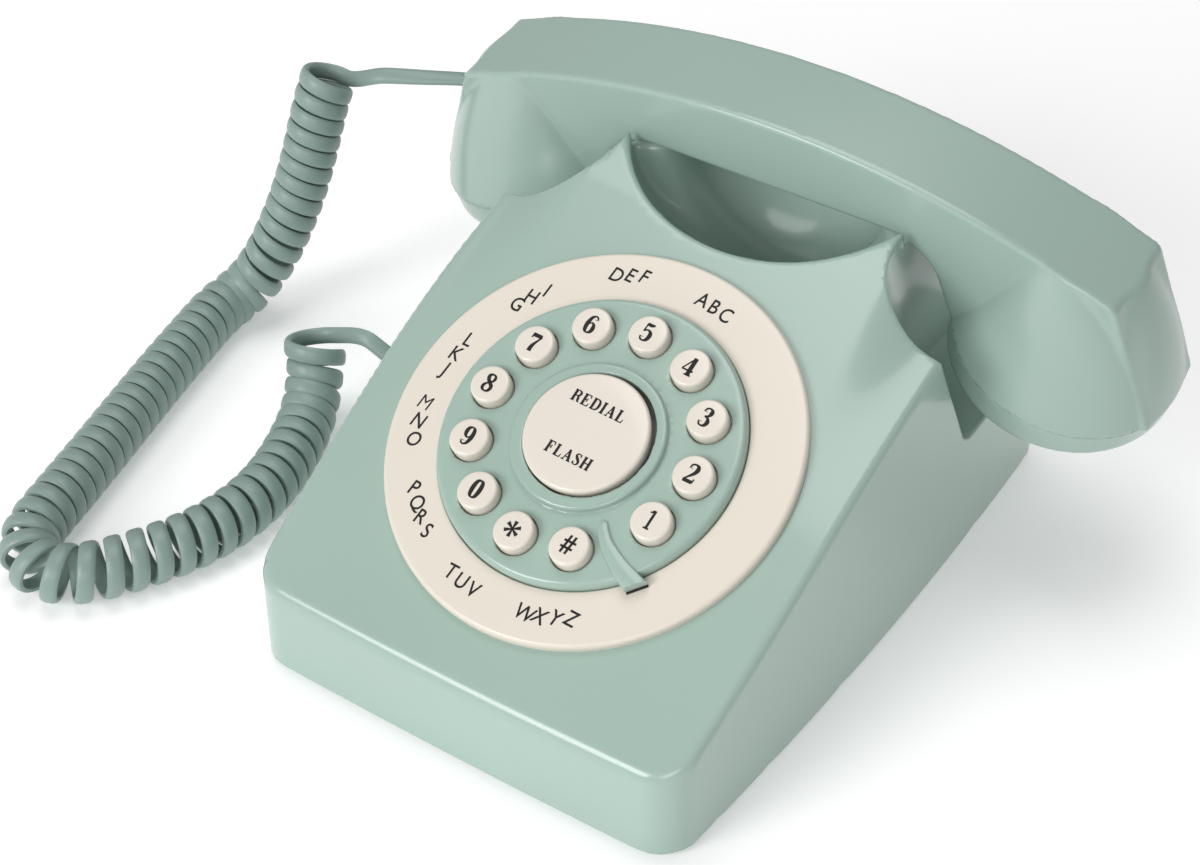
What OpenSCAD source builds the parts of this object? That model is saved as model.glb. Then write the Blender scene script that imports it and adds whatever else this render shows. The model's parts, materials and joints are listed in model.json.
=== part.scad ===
// Push-button desk telephone with a handset on a cradle and a curly cord.
// Frame: +Z up, front of the body towards -Y, origin under the middle of the
// body at the surface that the rubber feet stand on. All lengths are millimetres.

/* [Body] */
// Half of the body's width at its front corners
front_half = 67.5; // [66:0.5:70]
// Half of the body's width at its rear corners
rear_half = 68.5; // [67:0.5:71]
// How far the side walls bow outwards at their middle
side_bow = 2.8; // [1:0.1:4]
// How far the front wall bows outwards at its middle
front_bow = 0.8; // [0:0.1:1.5]
// Depth of the body, front to back
body_d = 204; // [200:1:208]
// Height of the front face up to the sloping panel
front_h = 27; // [25:0.5:29]
// Slope of the panel that carries the dial, degrees
slope = 27; // [26:0.5:28]
// Plan radius of the body's corners
corner_r = 10; // [7:0.5:12]
// Thickness of the moulded walls
wall = 2.4; // [2:0.1:2.8]
// Height of the rubber feet below the housing
foot_h = 1.5; // [1:0.1:2]

/* [Dial] */
// Distance of the dial's centre behind the front face, seen from above
dial_y = 64.7; // [63:0.1:66]
// Outer radius of the cream letter ring
ring_r = 56.9; // [55:0.1:58]
// Radius of the raised disc that holds the keys
bezel_r = 42; // [41:0.1:43]
// Height of the letter ring above the panel
ring_t = 2.4; // [2:0.1:3]
// Height of the raised disc above the panel
bezel_t = 5.2; // [4.8:0.1:5.6]
// Radius of the circle that the keys stand on
key_circle_r = 32; // [31.8:0.1:32.2]
// Angle between neighbouring keys, degrees
key_pitch = 29.1; // [28.9:0.1:29.2]
// Angle of the first key, counted from the right, degrees
key_first = -27; // [-28:0.5:-26]
// Radius of a key cap
key_r = 5.6; // [5.4:0.05:5.7]
// Height of the key caps above the panel
key_top = 8.3; // [8:0.1:8.8]
// Key travel
key_travel = 1.2; // [0.8:0.1:1.2]
// Radius of the central rocker disc
rocker_r = 17.3; // [17:0.1:17.4]

/* [Cradle] */
// Half of the width of the cradle tower
tower_half = 44; // [43:0.5:44.5]
// Radius of the flanks that receive the handset's cups
flank_r = 26.5; // [26:0.5:27]
// Height of the shelves beside the cradle
shelf_z = 40; // [38:1:41]
// Hook bar travel
hook_travel = 4; // [3:0.5:4]

/* [Handset] */
// Forward lean of the handset as it rests, degrees
lean = 10; // [10:1:10]
// Half of the distance between the cup centres
cup_x = 86; // [85:0.5:87]
// Radius of the cups where the caps begin
cup_r = 33; // [32:0.2:33.4]
// Inward tilt of the cups, degrees
cup_tilt = 15; // [14:1:16]
// Depth of the ear and mouth caps
cap_h = 12.5; // [11:0.5:13]
// Half of the handle's width
grip_half = 14.6; // [14:0.1:15]
// Height of the top ridge above the cup seam, middle of the handle
crest_z = 53.3; // [52:0.1:54]
// Height of the top ridge above the cup seam, at its two ends
crest_end_z = 31.3; // [30:0.1:32]
// Half of the top ridge's length
crest_half = 104; // [103:0.5:105]
// Height of the handle's underside above the cup seam
grip_z = 30.3; // [30.3:0.1:30.5]

/* [Cord] */
// Outer diameter of the curly part
coil_d = 14.4; // [13:0.2:14.4]
// Diameter of the straight ends
tail_d = 3.4; // [3:0.1:3.6]

/* [Hidden] */
$fn = 48;
green = "#abc5b9";
cream = "#efe6da";
dark = "#3a3f3c";
eps = 0.01;
key_names = ["key_1", "key_2", "key_3", "key_4", "key_5", "key_6", "key_7", "key_8",
    "key_9", "key_0", "key_star", "key_hash"];
// Clearances
run = 0.2;
skin = 0.3;
// Keypad, heights above the panel surface
mat_z = -2.4;
mat_t = 1;
board_t = 1.6;
flange_r = 6.6;
// Cradle: the handset's cup centres, in the body's own frame
cup_y = 169.3;
cup_z = 66.8;
notch_x = tower_half + flank_r;
notch_y = 147;
notch_z = 92;
// Plan centre of the hook bar
hook_y = 164;
hook_x = 39;
screw_xy = [[61, 14], [-61, 14], [61, 190], [-61, 190]];
board_z = 8;
// Radius of the crest's arc
crest_r = (crest_half * crest_half + pow(crest_z - crest_end_z, 2))
    / (2 * (crest_z - crest_end_z));
// Route of the straight cord from the handset to the curly part
tail_a = [[-111.6, 65.3, 81.7], [-116, 65.3, 81.7], [-121, 63, 81.6], [-126, 60.4, 81.4],
    [-132, 57.6, 81.1], [-138.6, 54.6, 80.7], [-144.6, 52.4, 80.1], [-150, 51.6, 79.4],
    [-154.6, 50.4, 78]];
// Route of the curly part's centre line, from its upper end to its lower end
coil_path = [[-154.8, 46.4, 79], [-155.6, 43, 72], [-156.2, 39.6, 63], [-157, 35.7, 52.5],
    [-158.4, 31.4, 42], [-160.6, 26.4, 31.4], [-163.8, 21.8, 21.4], [-167.8, 17.2, 13],
    [-171.2, 11.4, 8.4], [-171.2, 3, 7.3], [-168.6, -9, 7.3], [-166, -21, 7.3],
    [-163, -34, 7.3], [-160, -46, 7.3], [-157, -58, 7.3], [-154, -70, 7.3],
    [-151.4, -81, 7.3], [-149, -91, 7.3], [-147, -100, 7.3], [-144, -109, 7.3],
    [-137.6, -115.4, 7.3], [-129, -116, 7.3], [-121.6, -111, 7.3], [-115.6, -102.6, 7.3],
    [-109.6, -92, 7.3], [-105, -81, 7.3], [-102.6, -69, 7.3], [-102.6, -56, 7.3],
    [-105.4, -43, 7.3], [-110, -30, 7.6], [-114.4, -19.4, 11], [-117.6, -12.4, 18],
    [-120, -8.4, 27]];
// Route of the straight cord from the curly part to the body
tail_b = [[-120, -8.4, 27], [-120.6, -6, 31], [-117.6, -2.6, 32], [-112, -0.6, 30.4],
    [-105, 0, 26.8], [-97, 0.8, 22.6], [-89, 1.4, 18.6], [-83, 1.4, 16], [-80, 1.4, 15.7],
    [-76.9, 1.4, 15.7]];

function unit(v) = v / norm(v);
function tangents(p) = [for (i = [0:len(p) - 1])
    unit(p[min(i + 1, len(p) - 1)] - p[max(i - 1, 0)])];
function carry(t, n, i = 1) = i >= len(t) ? []
    : let (m = unit(n - (n * t[i]) * t[i])) concat([m], carry(t, m, i + 1));
function arc(cx, cy, r, a0, a1, n) = [for (i = [0:n])
    let (a = a0 + (a1 - a0) * i / n) [cx + r * cos(a), cy + r * sin(a)]];
// Points between p and q on a shallow curve that stands h proud in direction out
function bowed(p, q, h, out, n) = [for (i = [1:n - 1])
    let (t = i / n) p + (q - p) * t + out * h * 4 * t * (1 - t)];
// Height of the sloping panel at distance y behind the front face
function panel_z(y) = front_h + y * tan(slope);
// Height of the handset's crest at x, above the cup seam
function crest(x, g = 0) = crest_z - crest_r + sqrt(pow(crest_r - g, 2) - x * x);
// A point of the handset's mid plane, in the body's own frame: [y, z]
function rest_yz(hy, hz) = [cup_y + hy * cos(lean) - hz * sin(lean),
    cup_z + hz * cos(lean) + hy * sin(lean)];

// Body's own frame: front face at y = 0, underside at z = 0
module in_body() {
    translate([0, (front_bow - body_d) / 2, foot_h])
        children();
}

// Panel frame: origin on the panel under the dial's centre, z along its normal
module in_panel() {
    in_body()
        translate([0, dial_y, panel_z(dial_y)])
            rotate([slope, 0, 0])
                children();
}

// Handset frame: origin midway between the cups at the cap seam
module in_handset() {
    in_body()
        translate([0, cup_y, cup_z])
            rotate([lean, 0, 0])
                children();
}

// Cup frame on side s (1 right, -1 left): z along the cup's axis, seam at z = 0
module in_cup(s) {
    in_handset()
        translate([s * cup_x, 0, 0])
            rotate([0, s * cup_tilt, 0])
                children();
}

module tube(p, r, sides) {
    t = tangents(p);
    n0 = unit(cross(t[0], [0, 0.6, 0.8]));
    n = concat([n0], carry(t, n0));
    last = len(p) - 1;
    ring_points = [for (i = [0:last]) for (k = [0:sides - 1])
        let (a = 360 * k / sides) p[i] + r * (cos(a) * n[i] + sin(a) * cross(t[i], n[i]))];
    walls = [for (i = [0:last - 1]) for (k = [0:sides - 1])
        let (j = (k + 1) % sides)
            [i * sides + k, (i + 1) * sides + k, (i + 1) * sides + j, i * sides + j]];
    start = [[for (k = [0:sides - 1]) k]];
    stop = [[for (k = [0:sides - 1]) last * sides + sides - 1 - k]];
    polyhedron(points = ring_points, faces = concat(start, walls, stop));
}

// Plan outline of the body, drawn in by g
function plan(g) =
    let (fr = corner_r - g, fx = front_half - corner_r, rx = rear_half - corner_r,
         fy = corner_r, ry = body_d - corner_r,
         a = arc(fx, fy, fr, -90, 0, 6), b = arc(rx, ry, fr, 0, 90, 6),
         c = arc(-rx, ry, fr, 90, 180, 6), d = arc(-fx, fy, fr, 180, 270, 6))
    concat(a, bowed(a[6], b[0], side_bow, [1, 0], 8), b, c,
        bowed(c[6], d[0], side_bow, [-1, 0], 8), d,
        bowed(d[6], a[0], front_bow, [0, -1], 6));

// Side outline of the body and its cradle, drawn in by g below the surface
function side_outline(g) =
    let (k = g / cos(slope),
         horn_foot = rest_yz(-15.6, grip_z - 0.1 - g), horn_back = rest_yz(-15.6 - g, 35.6),
         rear_foot = rest_yz(16 + g, grip_z - 0.1 - g), rear_front = rest_yz(16 + g, 36 - g))
    [[-5, -5], [-5, panel_z(-5) - k], [137, panel_z(137) - k], [142, 98.4 - g],
        horn_back - [g > 0 ? 1 : 0, g], horn_foot - [g, 0], rear_foot + [g, 0], rear_front,
        [187 - g, 103.4 - g], [body_d - g, 84 - g], [body_d + (g > 0 ? -g : 5), 80 - g],
        [body_d + (g > 0 ? -g : 5), -5]];

// Space that a handset cup hangs in, on side s, grown by g
module notch(s, g) {
    translate([s * notch_x, notch_y, notch_z])
        rotate([slope, 0, 0])
            intersection() {
                union() {
                    translate([0, 0, -120])
                        cylinder(r = flank_r + g, h = 180, $fn = 64);
                    translate([s > 0 ? -flank_r - g : -60, 0, -120])
                        cube([60 + flank_r + g, 140, 180]);
                }
                // keeps only what lies above the shelf
                rotate([-slope, 0, 0])
                    translate([-100, -100, shelf_z - notch_z - g])
                        cube([200, 260, 120]);
            }
}

// Hollow for the fingers under the handle, grown by g
module finger_hollow(g) {
    intersection() {
        translate([0, 161, 96])
            scale([(46 + g) / 30, (38 + g) / 30, (30 + g) / 30])
                sphere(r = 30, $fn = 64);
        translate([-60, 100, 40])
            cube([120, 49, 80]);
    }
    translate([0, 165, 98])
        scale([(34 + g) / 30, (29 + g) / 30, (32 + g) / 30])
            sphere(r = 30, $fn = 64);
}

// Planes that let the panel's rear corners fall away
module shoulder_cut(g) {
    for (s = [-1, 1])
        mirror([s < 0 ? 1 : 0, 0, 0])
            translate([70, 5, panel_z(5) - g])
                rotate([slope, 0, 0])
                    rotate([-2.5, 14.8, 0])
                        translate([-120, -30, 0])
                            cube([240, 260, 60]);
}

module body_solid(g) {
    difference() {
        intersection() {
            translate([0, 0, -1])
                linear_extrude(height = 130)
                    polygon(plan(g));
            rotate([90, 0, 90])
                translate([0, 0, -80])
                    linear_extrude(height = 160)
                        polygon(side_outline(g));
        }
        shoulder_cut(g);
        notch(1, g);
        notch(-1, g);
        finger_hollow(g);
    }
}

module housing() {
    color(green)
        difference() {
            in_body() {
                difference() {
                    body_solid(0);
                    body_solid(wall);
                    translate([-100, -20, -20])
                        cube([200, 240, 20]);
                    // slots for the hook bar's two blades
                    for (s = [-1, 1])
                        translate([s * hook_x - 1.9, hook_y - 4.3, 80])
                            cube([3.8, 8.6, 40]);
                    // line socket, ringer switch and handset cord socket openings
                    translate([22.8, body_d - 6, 9.4])
                        cube([14.4, 12, 13.6]);
                    translate([-36, body_d - 6, 11])
                        cube([12, 12, 4.2]);
                    translate([-80, 96.8, 8])
                        cube([18, 12.4, 12.4]);
                }
                for (p = screw_xy)
                    translate([p[0], p[1], 3])
                        difference() {
                            union() {
                                cylinder(r = 4.4, h = 19);
                                // rib that ties the post to the side wall
                                translate([p[0] > 0 ? 0 : -5.6, -1, 0])
                                    cube([5.6, 2, 19]);
                            }
                            translate([0, 0, -1])
                                cylinder(r = 1.45, h = 14);
                        }
            }
            in_panel()
                translate([0, 0, -8])
                    cylinder(r = bezel_r - 2, h = 16, $fn = 96);
        }
}

module base_plate() {
    color(green)
        in_body()
            difference() {
                union() {
                    translate([0, 0, 0.5])
                        linear_extrude(height = 2.5)
                            polygon(plan(wall + skin));
                    // guide post of the hook spring
                    translate([0, hook_y, 2])
                        cylinder(r = 5, h = 36);
                    translate([0, hook_y, 37])
                        cylinder(r = 2, h = 8);
                    // board standoffs
                    for (x = [-42, 42])
                        for (y = [150, 186])
                            translate([x, y, 2])
                                cylinder(r = 3, h = board_z - 2);
                }
                for (x = [-42, 42])
                    for (y = [150, 186])
                        translate([x, y, 3.4])
                            cylinder(r = 1.25, h = 8);
                for (p = screw_xy)
                    translate([p[0], p[1], -1])
                        cylinder(r = 1.7, h = 6);
                for (p = screw_xy)
                    translate([p[0], p[1], -1])
                        cylinder(r = 3.2, h = 3);
                // sound slots under the ringer
                for (i = [-3:3])
                    translate([i * 5 - 1, 50, -1])
                        cube([2, 20, 6]);
                // recesses for the feet
                for (x = [-50, 50])
                    for (y = [22, 182])
                        translate([x, y, -1])
                            cylinder(r = 7.1, h = 2.2);
            }
}

module feet() {
    color(dark)
        in_body()
            for (x = [-50, 50])
                for (y = [22, 182])
                    translate([x, y, -foot_h])
                        cylinder(r1 = 6.6, r2 = 7, h = foot_h + 1.2);
}

module self_tapper(head_r, head_h, shank_r, shank_h) {
    cylinder(r = head_r, h = head_h);
    translate([0, 0, head_h - eps])
        cylinder(r = shank_r, h = shank_h);
}

module base_screws() {
    color("silver")
        in_body()
            for (p = screw_xy)
                translate([p[0], p[1], 0.2])
                    self_tapper(3, 1.8, 1.4, 11);
}

module dial_ring() {
    color(cream)
        in_panel()
            rotate_extrude($fn = 128)
                polygon(concat([[bezel_r + run, 0], [ring_r, 0]],
                    arc(ring_r - 1.1, ring_t - 0.6, 1.1, 0, 90, 6),
                    arc(ring_r - 1.1, ring_t - 0.6, 1.1, 90, 150, 4),
                    [[ring_r - 2.4, ring_t], [bezel_r + run, ring_t]]));
}

function key_angle(i) = key_first + i * key_pitch;

module key_bezel() {
    stop_a = key_angle(11) + (360 + key_first - key_angle(11)) / 2;
    color(green)
        in_panel()
            difference() {
                union() {
                    // flange and top plate with a rounded edge
                    rotate_extrude($fn = 128)
                        polygon(concat([[0, 0], [bezel_r, 0]],
                            arc(bezel_r - 1.6, bezel_t - 1.6, 1.6, 0, 90, 6), [[0, bezel_t]]));
                    // skirt through the panel opening
                    translate([0, 0, -4.5])
                        cylinder(r = bezel_r - 2.2, h = 5, $fn = 96);
                    // raised collar round the rocker
                    rotate_extrude($fn = 96)
                        polygon(concat([[0, bezel_t - 0.5]], [[21.6, bezel_t - 0.5]],
                            arc(20.4, 5.8, 1.2, 0, 90, 5), [[0, 7]]));
                    // finger stop
                    intersection() {
                        rotate([0, 0, stop_a])
                            translate([0, 0, bezel_t - 0.6])
                                linear_extrude(height = 2)
                                    polygon([[20, -1.1], [20, 1.1], [26, 1.4], [33, 2],
                                        [41.6, 3.4], [41.6, -3.4], [33, -2], [26, -1.4]]);
                        cylinder(r = 41.4, h = 12, $fn = 96);
                    }
                }
                // hollow inside
                translate([0, 0, -10])
                    difference() {
                        cylinder(r = bezel_r - 3.2, h = 13, $fn = 96);
                        // screw bosses between the collar and the keys
                        for (i = [1, 4, 7, 10])
                            rotate([0, 0, key_angle(i) + key_pitch / 2])
                                translate([27, 0, 10 + mat_z + 0.1])
                                    cylinder(r = 2, h = 12);
                    }
                for (i = [0:11])
                    rotate([0, 0, key_angle(i)])
                        translate([key_circle_r, 0, 0])
                            cylinder(r = key_r + run, h = 12);
                // rocker opening and its pivot slots
                cylinder(r = rocker_r + 0.6, h = 12, $fn = 96);
                for (i = [1, 4, 7, 10])
                    rotate([0, 0, key_angle(i) + key_pitch / 2])
                        translate([27, 0, -3])
                            cylinder(r = 0.85, h = 6);
                translate([-20.4, -1.35, -1])
                    cube([40.8, 2.7, 5.4]);
            }
}

module key_cap(i) {
    color(cream)
        in_panel()
            rotate([0, 0, key_angle(i)])
                translate([key_circle_r, 0, 0])
                    rotate_extrude($fn = 64)
                        polygon(concat([[0, 1.5], [4.6, 1.5], [4.6, 1.8], [flange_r - 0.1, 1.8],
                            [flange_r - 0.1, 2.9], [key_r, 2.9]],
                            arc(key_r - 0.9, key_top - 0.9, 0.9, 0, 90, 5), [[0, key_top]]));
}

module redial_flash_rocker() {
    color(cream)
        in_panel() {
            rotate_extrude($fn = 96)
                polygon(concat([[0, 5.2], [0, 4.2], [rocker_r - 0.6, 4.2], [rocker_r, 4.6]],
                    arc(rocker_r - 1, key_top - 0.9, 1, 0, 80, 5),
                    [[rocker_r - 6, key_top + 0.3], [0, key_top + 0.4]]));
            // pivot pins, in the slots of the bezel
            difference() {
                rotate([0, 90, 0])
                    translate([-3, 0, -20])
                        cylinder(r = 1.2, h = 40);
                translate([-16, -3, -1])
                    cube([32, 6, 8]);
            }
            for (s = [-1, 1])
                translate([s * 15.4 - 0.9, -1.2, 3])
                    cube([1.8, 2.4, 1.4]);
            // plungers over the two contacts
            for (v = [-10, 10])
                translate([0, v, 1.4])
                    cylinder(r = 2.2, h = 3.2);
        }
}

module keypad_mat() {
    color("#d8d8d4")
        in_panel()
            difference() {
                union() {
                    translate([0, 0, mat_z])
                        cylinder(r = bezel_r - 3.4, h = mat_t, $fn = 96);
                    for (i = [0:11])
                        rotate([0, 0, key_angle(i)])
                            translate([key_circle_r, 0, mat_z + 0.5])
                                cylinder(r1 = 3.6, r2 = 2.4, h = 2.1);
                    for (v = [-10, 10])
                        translate([0, v, mat_z + 0.5])
                            cylinder(r1 = 3.4, r2 = 2.2, h = 1.9);
                }
                for (i = [1, 4, 7, 10])
                    rotate([0, 0, key_angle(i) + key_pitch / 2])
                        translate([27, 0, mat_z - 1])
                            cylinder(r = 2.3, h = 4);
            }
}

module keypad_board() {
    color("darkgreen")
        in_panel()
            difference() {
                translate([0, 0, mat_z - board_t])
                    cylinder(r = bezel_r - 3.4, h = board_t, $fn = 96);
                for (i = [1, 4, 7, 10])
                    rotate([0, 0, key_angle(i) + key_pitch / 2])
                        translate([27, 0, -10])
                            cylinder(r = 1.1, h = 12);
            }
}

module keypad_screws() {
    color("silver")
        in_panel()
            for (i = [1, 4, 7, 10])
                rotate([0, 0, key_angle(i) + key_pitch / 2])
                    translate([27, 0, mat_z - board_t - 1.2])
                        self_tapper(1.9, 1.2, 0.8, 5.6);
}

module hook_bar() {
    color(dark)
        in_body() {
            for (s = [-1, 1])
                translate([s * hook_x - 1.6, hook_y - 4, 54])
                    cube([3.2, 8, rest_yz(-4, grip_z)[1] - 0.5 - 54]);
            translate([-hook_x - 1.6, hook_y - 3, 54])
                cube([2 * hook_x + 3.2, 6, 4]);
            // finger over the hook switch
            translate([24, hook_y - 3, 17])
                cube([2, 6, 38]);
        }
}

module hook_spring() {
    color("silver")
        in_body()
            translate([0, hook_y, 38])
                difference() {
                    cylinder(r = 3.6, h = 16);
                    translate([0, 0, -1])
                        cylinder(r = 2.7, h = 18);
                }
}

module hook_switch() {
    color(dark)
        in_body()
            translate([19, hook_y - 3, board_z + board_t])
                cube([12, 6, 6.6]);
}

module main_board() {
    color("darkgreen")
        in_body()
            difference() {
                translate([-48, 144, board_z])
                    cube([96, 48, board_t]);
                translate([0, hook_y, 0])
                    cylinder(r = 6, h = 20);
                for (x = [-42, 42])
                    for (y = [150, 186])
                        translate([x, y, 0])
                            cylinder(r = 1.6, h = 20);
            }
}

module board_screws() {
    color("silver")
        in_body()
            for (x = [-42, 42])
                for (y = [150, 186])
                    translate([x, y, board_z + board_t + 1.6])
                        rotate([180, 0, 0])
                            self_tapper(2.6, 1.6, 1.2, 5);
}

module ballast() {
    color("gray")
        in_body()
            translate([-38, 88, 3])
                cube([76, 34, 6]);
}

module ringer() {
    color("gray")
        in_body()
            translate([0, 60, 3])
                union() {
                    difference() {
                        cylinder(r = 20, h = 3);
                        translate([0, 0, -1])
                            cylinder(r = 18, h = 3);
                    }
                    cylinder(r = 10, h = 8);
                }
}

module ringer_switch() {
    color(dark)
        in_body()
            difference() {
                translate([-38, 193, 3])
                    cube([16, 8.2, 15]);
                translate([-36, 197, 11])
                    cube([12, 6, 4.2]);
            }
}

module ringer_knob() {
    color(dark)
        in_body()
            translate([-32.2, 198, 11.3])
                cube([4.4, 7.4, 3.6]);
}

// Socket with a rectangular cavity that opens towards +Y
module socket(w, d, h, cw, ch, cd) {
    difference() {
        translate([-w / 2, -d, 0])
            cube([w, d, h]);
        translate([-cw / 2, -cd, (h - ch) / 2])
            cube([cw, cd + 1, ch]);
    }
}

module line_jack() {
    color(dark)
        in_body()
            translate([30, body_d, board_z + board_t])
                socket(14, 17, 13, 9.8, 7, 13);
}

module cord_jack() {
    color(dark)
        in_body()
            translate([-69.6, 103, 3])
                rotate([0, 0, 90])
                    union() {
                        translate([0, 0, 5.2])
                            socket(12, 15, 12, 8.2, 7, 11.6);
                        translate([-6, -15, 0])
                            cube([12, 13, 5.4]);
                    }
}

// Outline of the handset's middle slab in its x-z plane, drawn in by g
function slab(g) =
    let (e = crest_half - g, n = 20)
    concat([for (i = [0:n]) let (x = e - 2 * e * i / n) [x, crest(x, g)]],
        [[-112 + g, 6], [-92, -2], [-58 - g, 8], [-54.4 - g, 16], [-50.6 - g, 24],
         [-45.4 - g, grip_z + g], [45.4 + g, grip_z + g], [50.6 + g, 24], [54.4 + g, 16],
         [58 + g, 8], [92, -2], [112 - g, 6]]);

// A cup's flared body, drawn in by g, kept under the crest
module cup_solid(s, g) {
    intersection() {
        hull() {
            translate([s * cup_x, 0, 0])
                rotate([0, s * cup_tilt, 0])
                    translate([0, 0, g > 0 ? -6 : 0])
                        cylinder(r = cup_r - g, h = 0.1, $fn = 64);
            translate([s * cup_x, 0, 38])
                cylinder(r = grip_half - g, h = 1, $fn = 64);
        }
        rotate([90, 0, 0])
            translate([0, 0, -50])
                linear_extrude(height = 100)
                    polygon(concat([for (i = [-10:10]) [i * 14, crest(i * 14, g)]],
                        [[140, -30], [-140, -30]]));
    }
}

module handset_solid(g) {
    intersection() {
        rotate([90, 0, 0])
            translate([0, 0, -grip_half + g])
                linear_extrude(height = 2 * (grip_half - g))
                    polygon(slab(g));
        // keeps the slab above both cup seams
        rotate([90, 0, 0])
            translate([0, 0, -50])
                linear_extrude(height = 100)
                    polygon([[-150, (150 - cup_x) * -tan(cup_tilt)], [-cup_x, 0],
                        [-40, (cup_x - 40) * tan(cup_tilt)], [40, (cup_x - 40) * tan(cup_tilt)],
                        [cup_x, 0], [150, (150 - cup_x) * -tan(cup_tilt)],
                        [150, 80], [-150, 80]]);
    }
    cup_solid(1, g);
    cup_solid(-1, g);
}

module handset_shell() {
    color(green)
        in_handset()
            difference() {
                handset_solid(0);
                handset_solid(2.2);
                // long opening in the underside for the grip cover
                translate([-42, -11, grip_z - 1])
                    cube([84, 22, 4]);
                // window for the cord plug in the left end
                translate([-120, -4.4, 9.2])
                    cube([14.6, 8.8, 8.8]);
            }
}

module grip_cover() {
    color(green)
        in_handset()
            difference() {
                translate([-41.8, -10.8, grip_z])
                    cube([83.6, 21.6, 2.1]);
                for (x = [-30, 30])
                    translate([x, 0, grip_z - 1])
                        cylinder(r = 1.6, h = 6);
                for (x = [-30, 30])
                    translate([x, 0, grip_z - 1])
                        cylinder(r = 2.8, h = 2);
            }
}

module grip_screws() {
    color("silver")
        in_handset()
            for (x = [-30, 30])
                translate([x, 0, grip_z + 0.1])
                    self_tapper(2.6, 0.9, 1.4, 6.5);
}

// Round cap that closes a cup on side s, with sound holes at the given circles
module cup_cap(s, holes) {
    color(green)
        in_cup(s)
            difference() {
                union() {
                    rotate_extrude($fn = 96)
                        polygon(concat([[0, -cap_h], [cup_r - 5, -cap_h]],
                            arc(cup_r - 4.8, -cap_h + 3, 3, -90, 0, 5),
                            [[cup_r - 0.2, -0.3], [cup_r - 0.8, 0], [0, 0]]));
                    cylinder(r = 24.8, h = 3, $fn = 96);
                }
                translate([0, 0, -cap_h + 2.2])
                    cylinder(r = 23.2, h = cap_h + 4, $fn = 96);
                cylinder(r = 1.2, h = 60, center = true, $fn = 16);
                for (a = [0:holes - 1])
                    rotate([0, 0, a * 360 / holes])
                        translate([7, 0, 0])
                            cylinder(r = 1.2, h = 60, center = true, $fn = 16);
            }
}

module ear_cap() {
    cup_cap(-1, 6);
}

module mouth_cap() {
    cup_cap(1, 4);
}

module receiver() {
    color("gray")
        in_cup(-1)
            translate([0, 0, -cap_h + 2.2])
                difference() {
                    union() {
                        cylinder(r = 18, h = 4);
                        cylinder(r = 9, h = 8);
                    }
                    translate([0, 0, -1])
                        cylinder(r = 16, h = 2);
                }
}

module microphone() {
    color(dark)
        in_cup(1)
            translate([0, 0, -cap_h + 2.2])
                difference() {
                    cylinder(r = 9.5, h = 7);
                    translate([0, 0, -1])
                        cylinder(r = 8.5, h = 2);
                }
}

module handset_weight() {
    color("gray")
        in_handset()
            difference() {
                translate([-34, -8, grip_z + 2.1])
                    cube([68, 16, 7.4]);
                for (x = [-30, 30])
                    translate([x, 0, grip_z])
                        cylinder(r = 1.45, h = 20);
            }
}

module handset_jack() {
    color(dark)
        in_handset()
            difference() {
                translate([-105.2, -6, 7.4])
                    cube([14, 12, 12]);
                translate([-106.2, -4.1, 10.1])
                    cube([12.6, 8.2, 7]);
            }
}

module handset_plug() {
    color("#7f8a84")
        in_handset()
            translate([-111.6, -3.9, 10.3])
                cube([17, 7.8, 6.6]);
}

module body_plug() {
    color("#7f8a84")
        in_body()
            translate([-76.9, 99.1, 10.9])
                cube([17.6, 7.8, 6.6]);
}

module cord_tail_handset() {
    color("#74827b")
        tube(tail_a, tail_d / 2, 8);
}

module cord_coil() {
    color("#74827b")
        tube(coil_path, coil_d / 2, 10);
}

module cord_tail_body() {
    color("#74827b")
        tube(tail_b, tail_d / 2, 8);
}

housing();
base_plate();
feet();
base_screws();
dial_ring();
key_bezel();
key_cap(0);  // key_1
key_cap(1);  // key_2
key_cap(2);  // key_3
key_cap(3);  // key_4
key_cap(4);  // key_5
key_cap(5);  // key_6
key_cap(6);  // key_7
key_cap(7);  // key_8
key_cap(8);  // key_9
key_cap(9);  // key_0
key_cap(10);  // key_star
key_cap(11);  // key_hash
redial_flash_rocker();
keypad_mat();
keypad_board();
keypad_screws();
hook_bar();
hook_spring();
hook_switch();
main_board();
board_screws();
ballast();
ringer();
ringer_switch();
ringer_knob();
line_jack();
cord_jack();
handset_shell();
grip_cover();
grip_screws();
ear_cap();
mouth_cap();
receiver();
microphone();
handset_weight();
handset_jack();
handset_plug();
body_plug();
cord_tail_handset();
cord_coil();
cord_tail_body();
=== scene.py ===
"""Push-button desk telephone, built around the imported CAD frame.

Blender objects are in metres. Sizes and places below are millimetres unless a name says otherwise, and MM
turns them into metres. Three frames of the CAD part are repeated here: the body's own frame, the panel's
frame under the dial, and the handset's frame at the seam of its caps.
"""

import json
import math

import bmesh
import bpy
import numpy as np
from mathutils import Matrix, Vector


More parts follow.
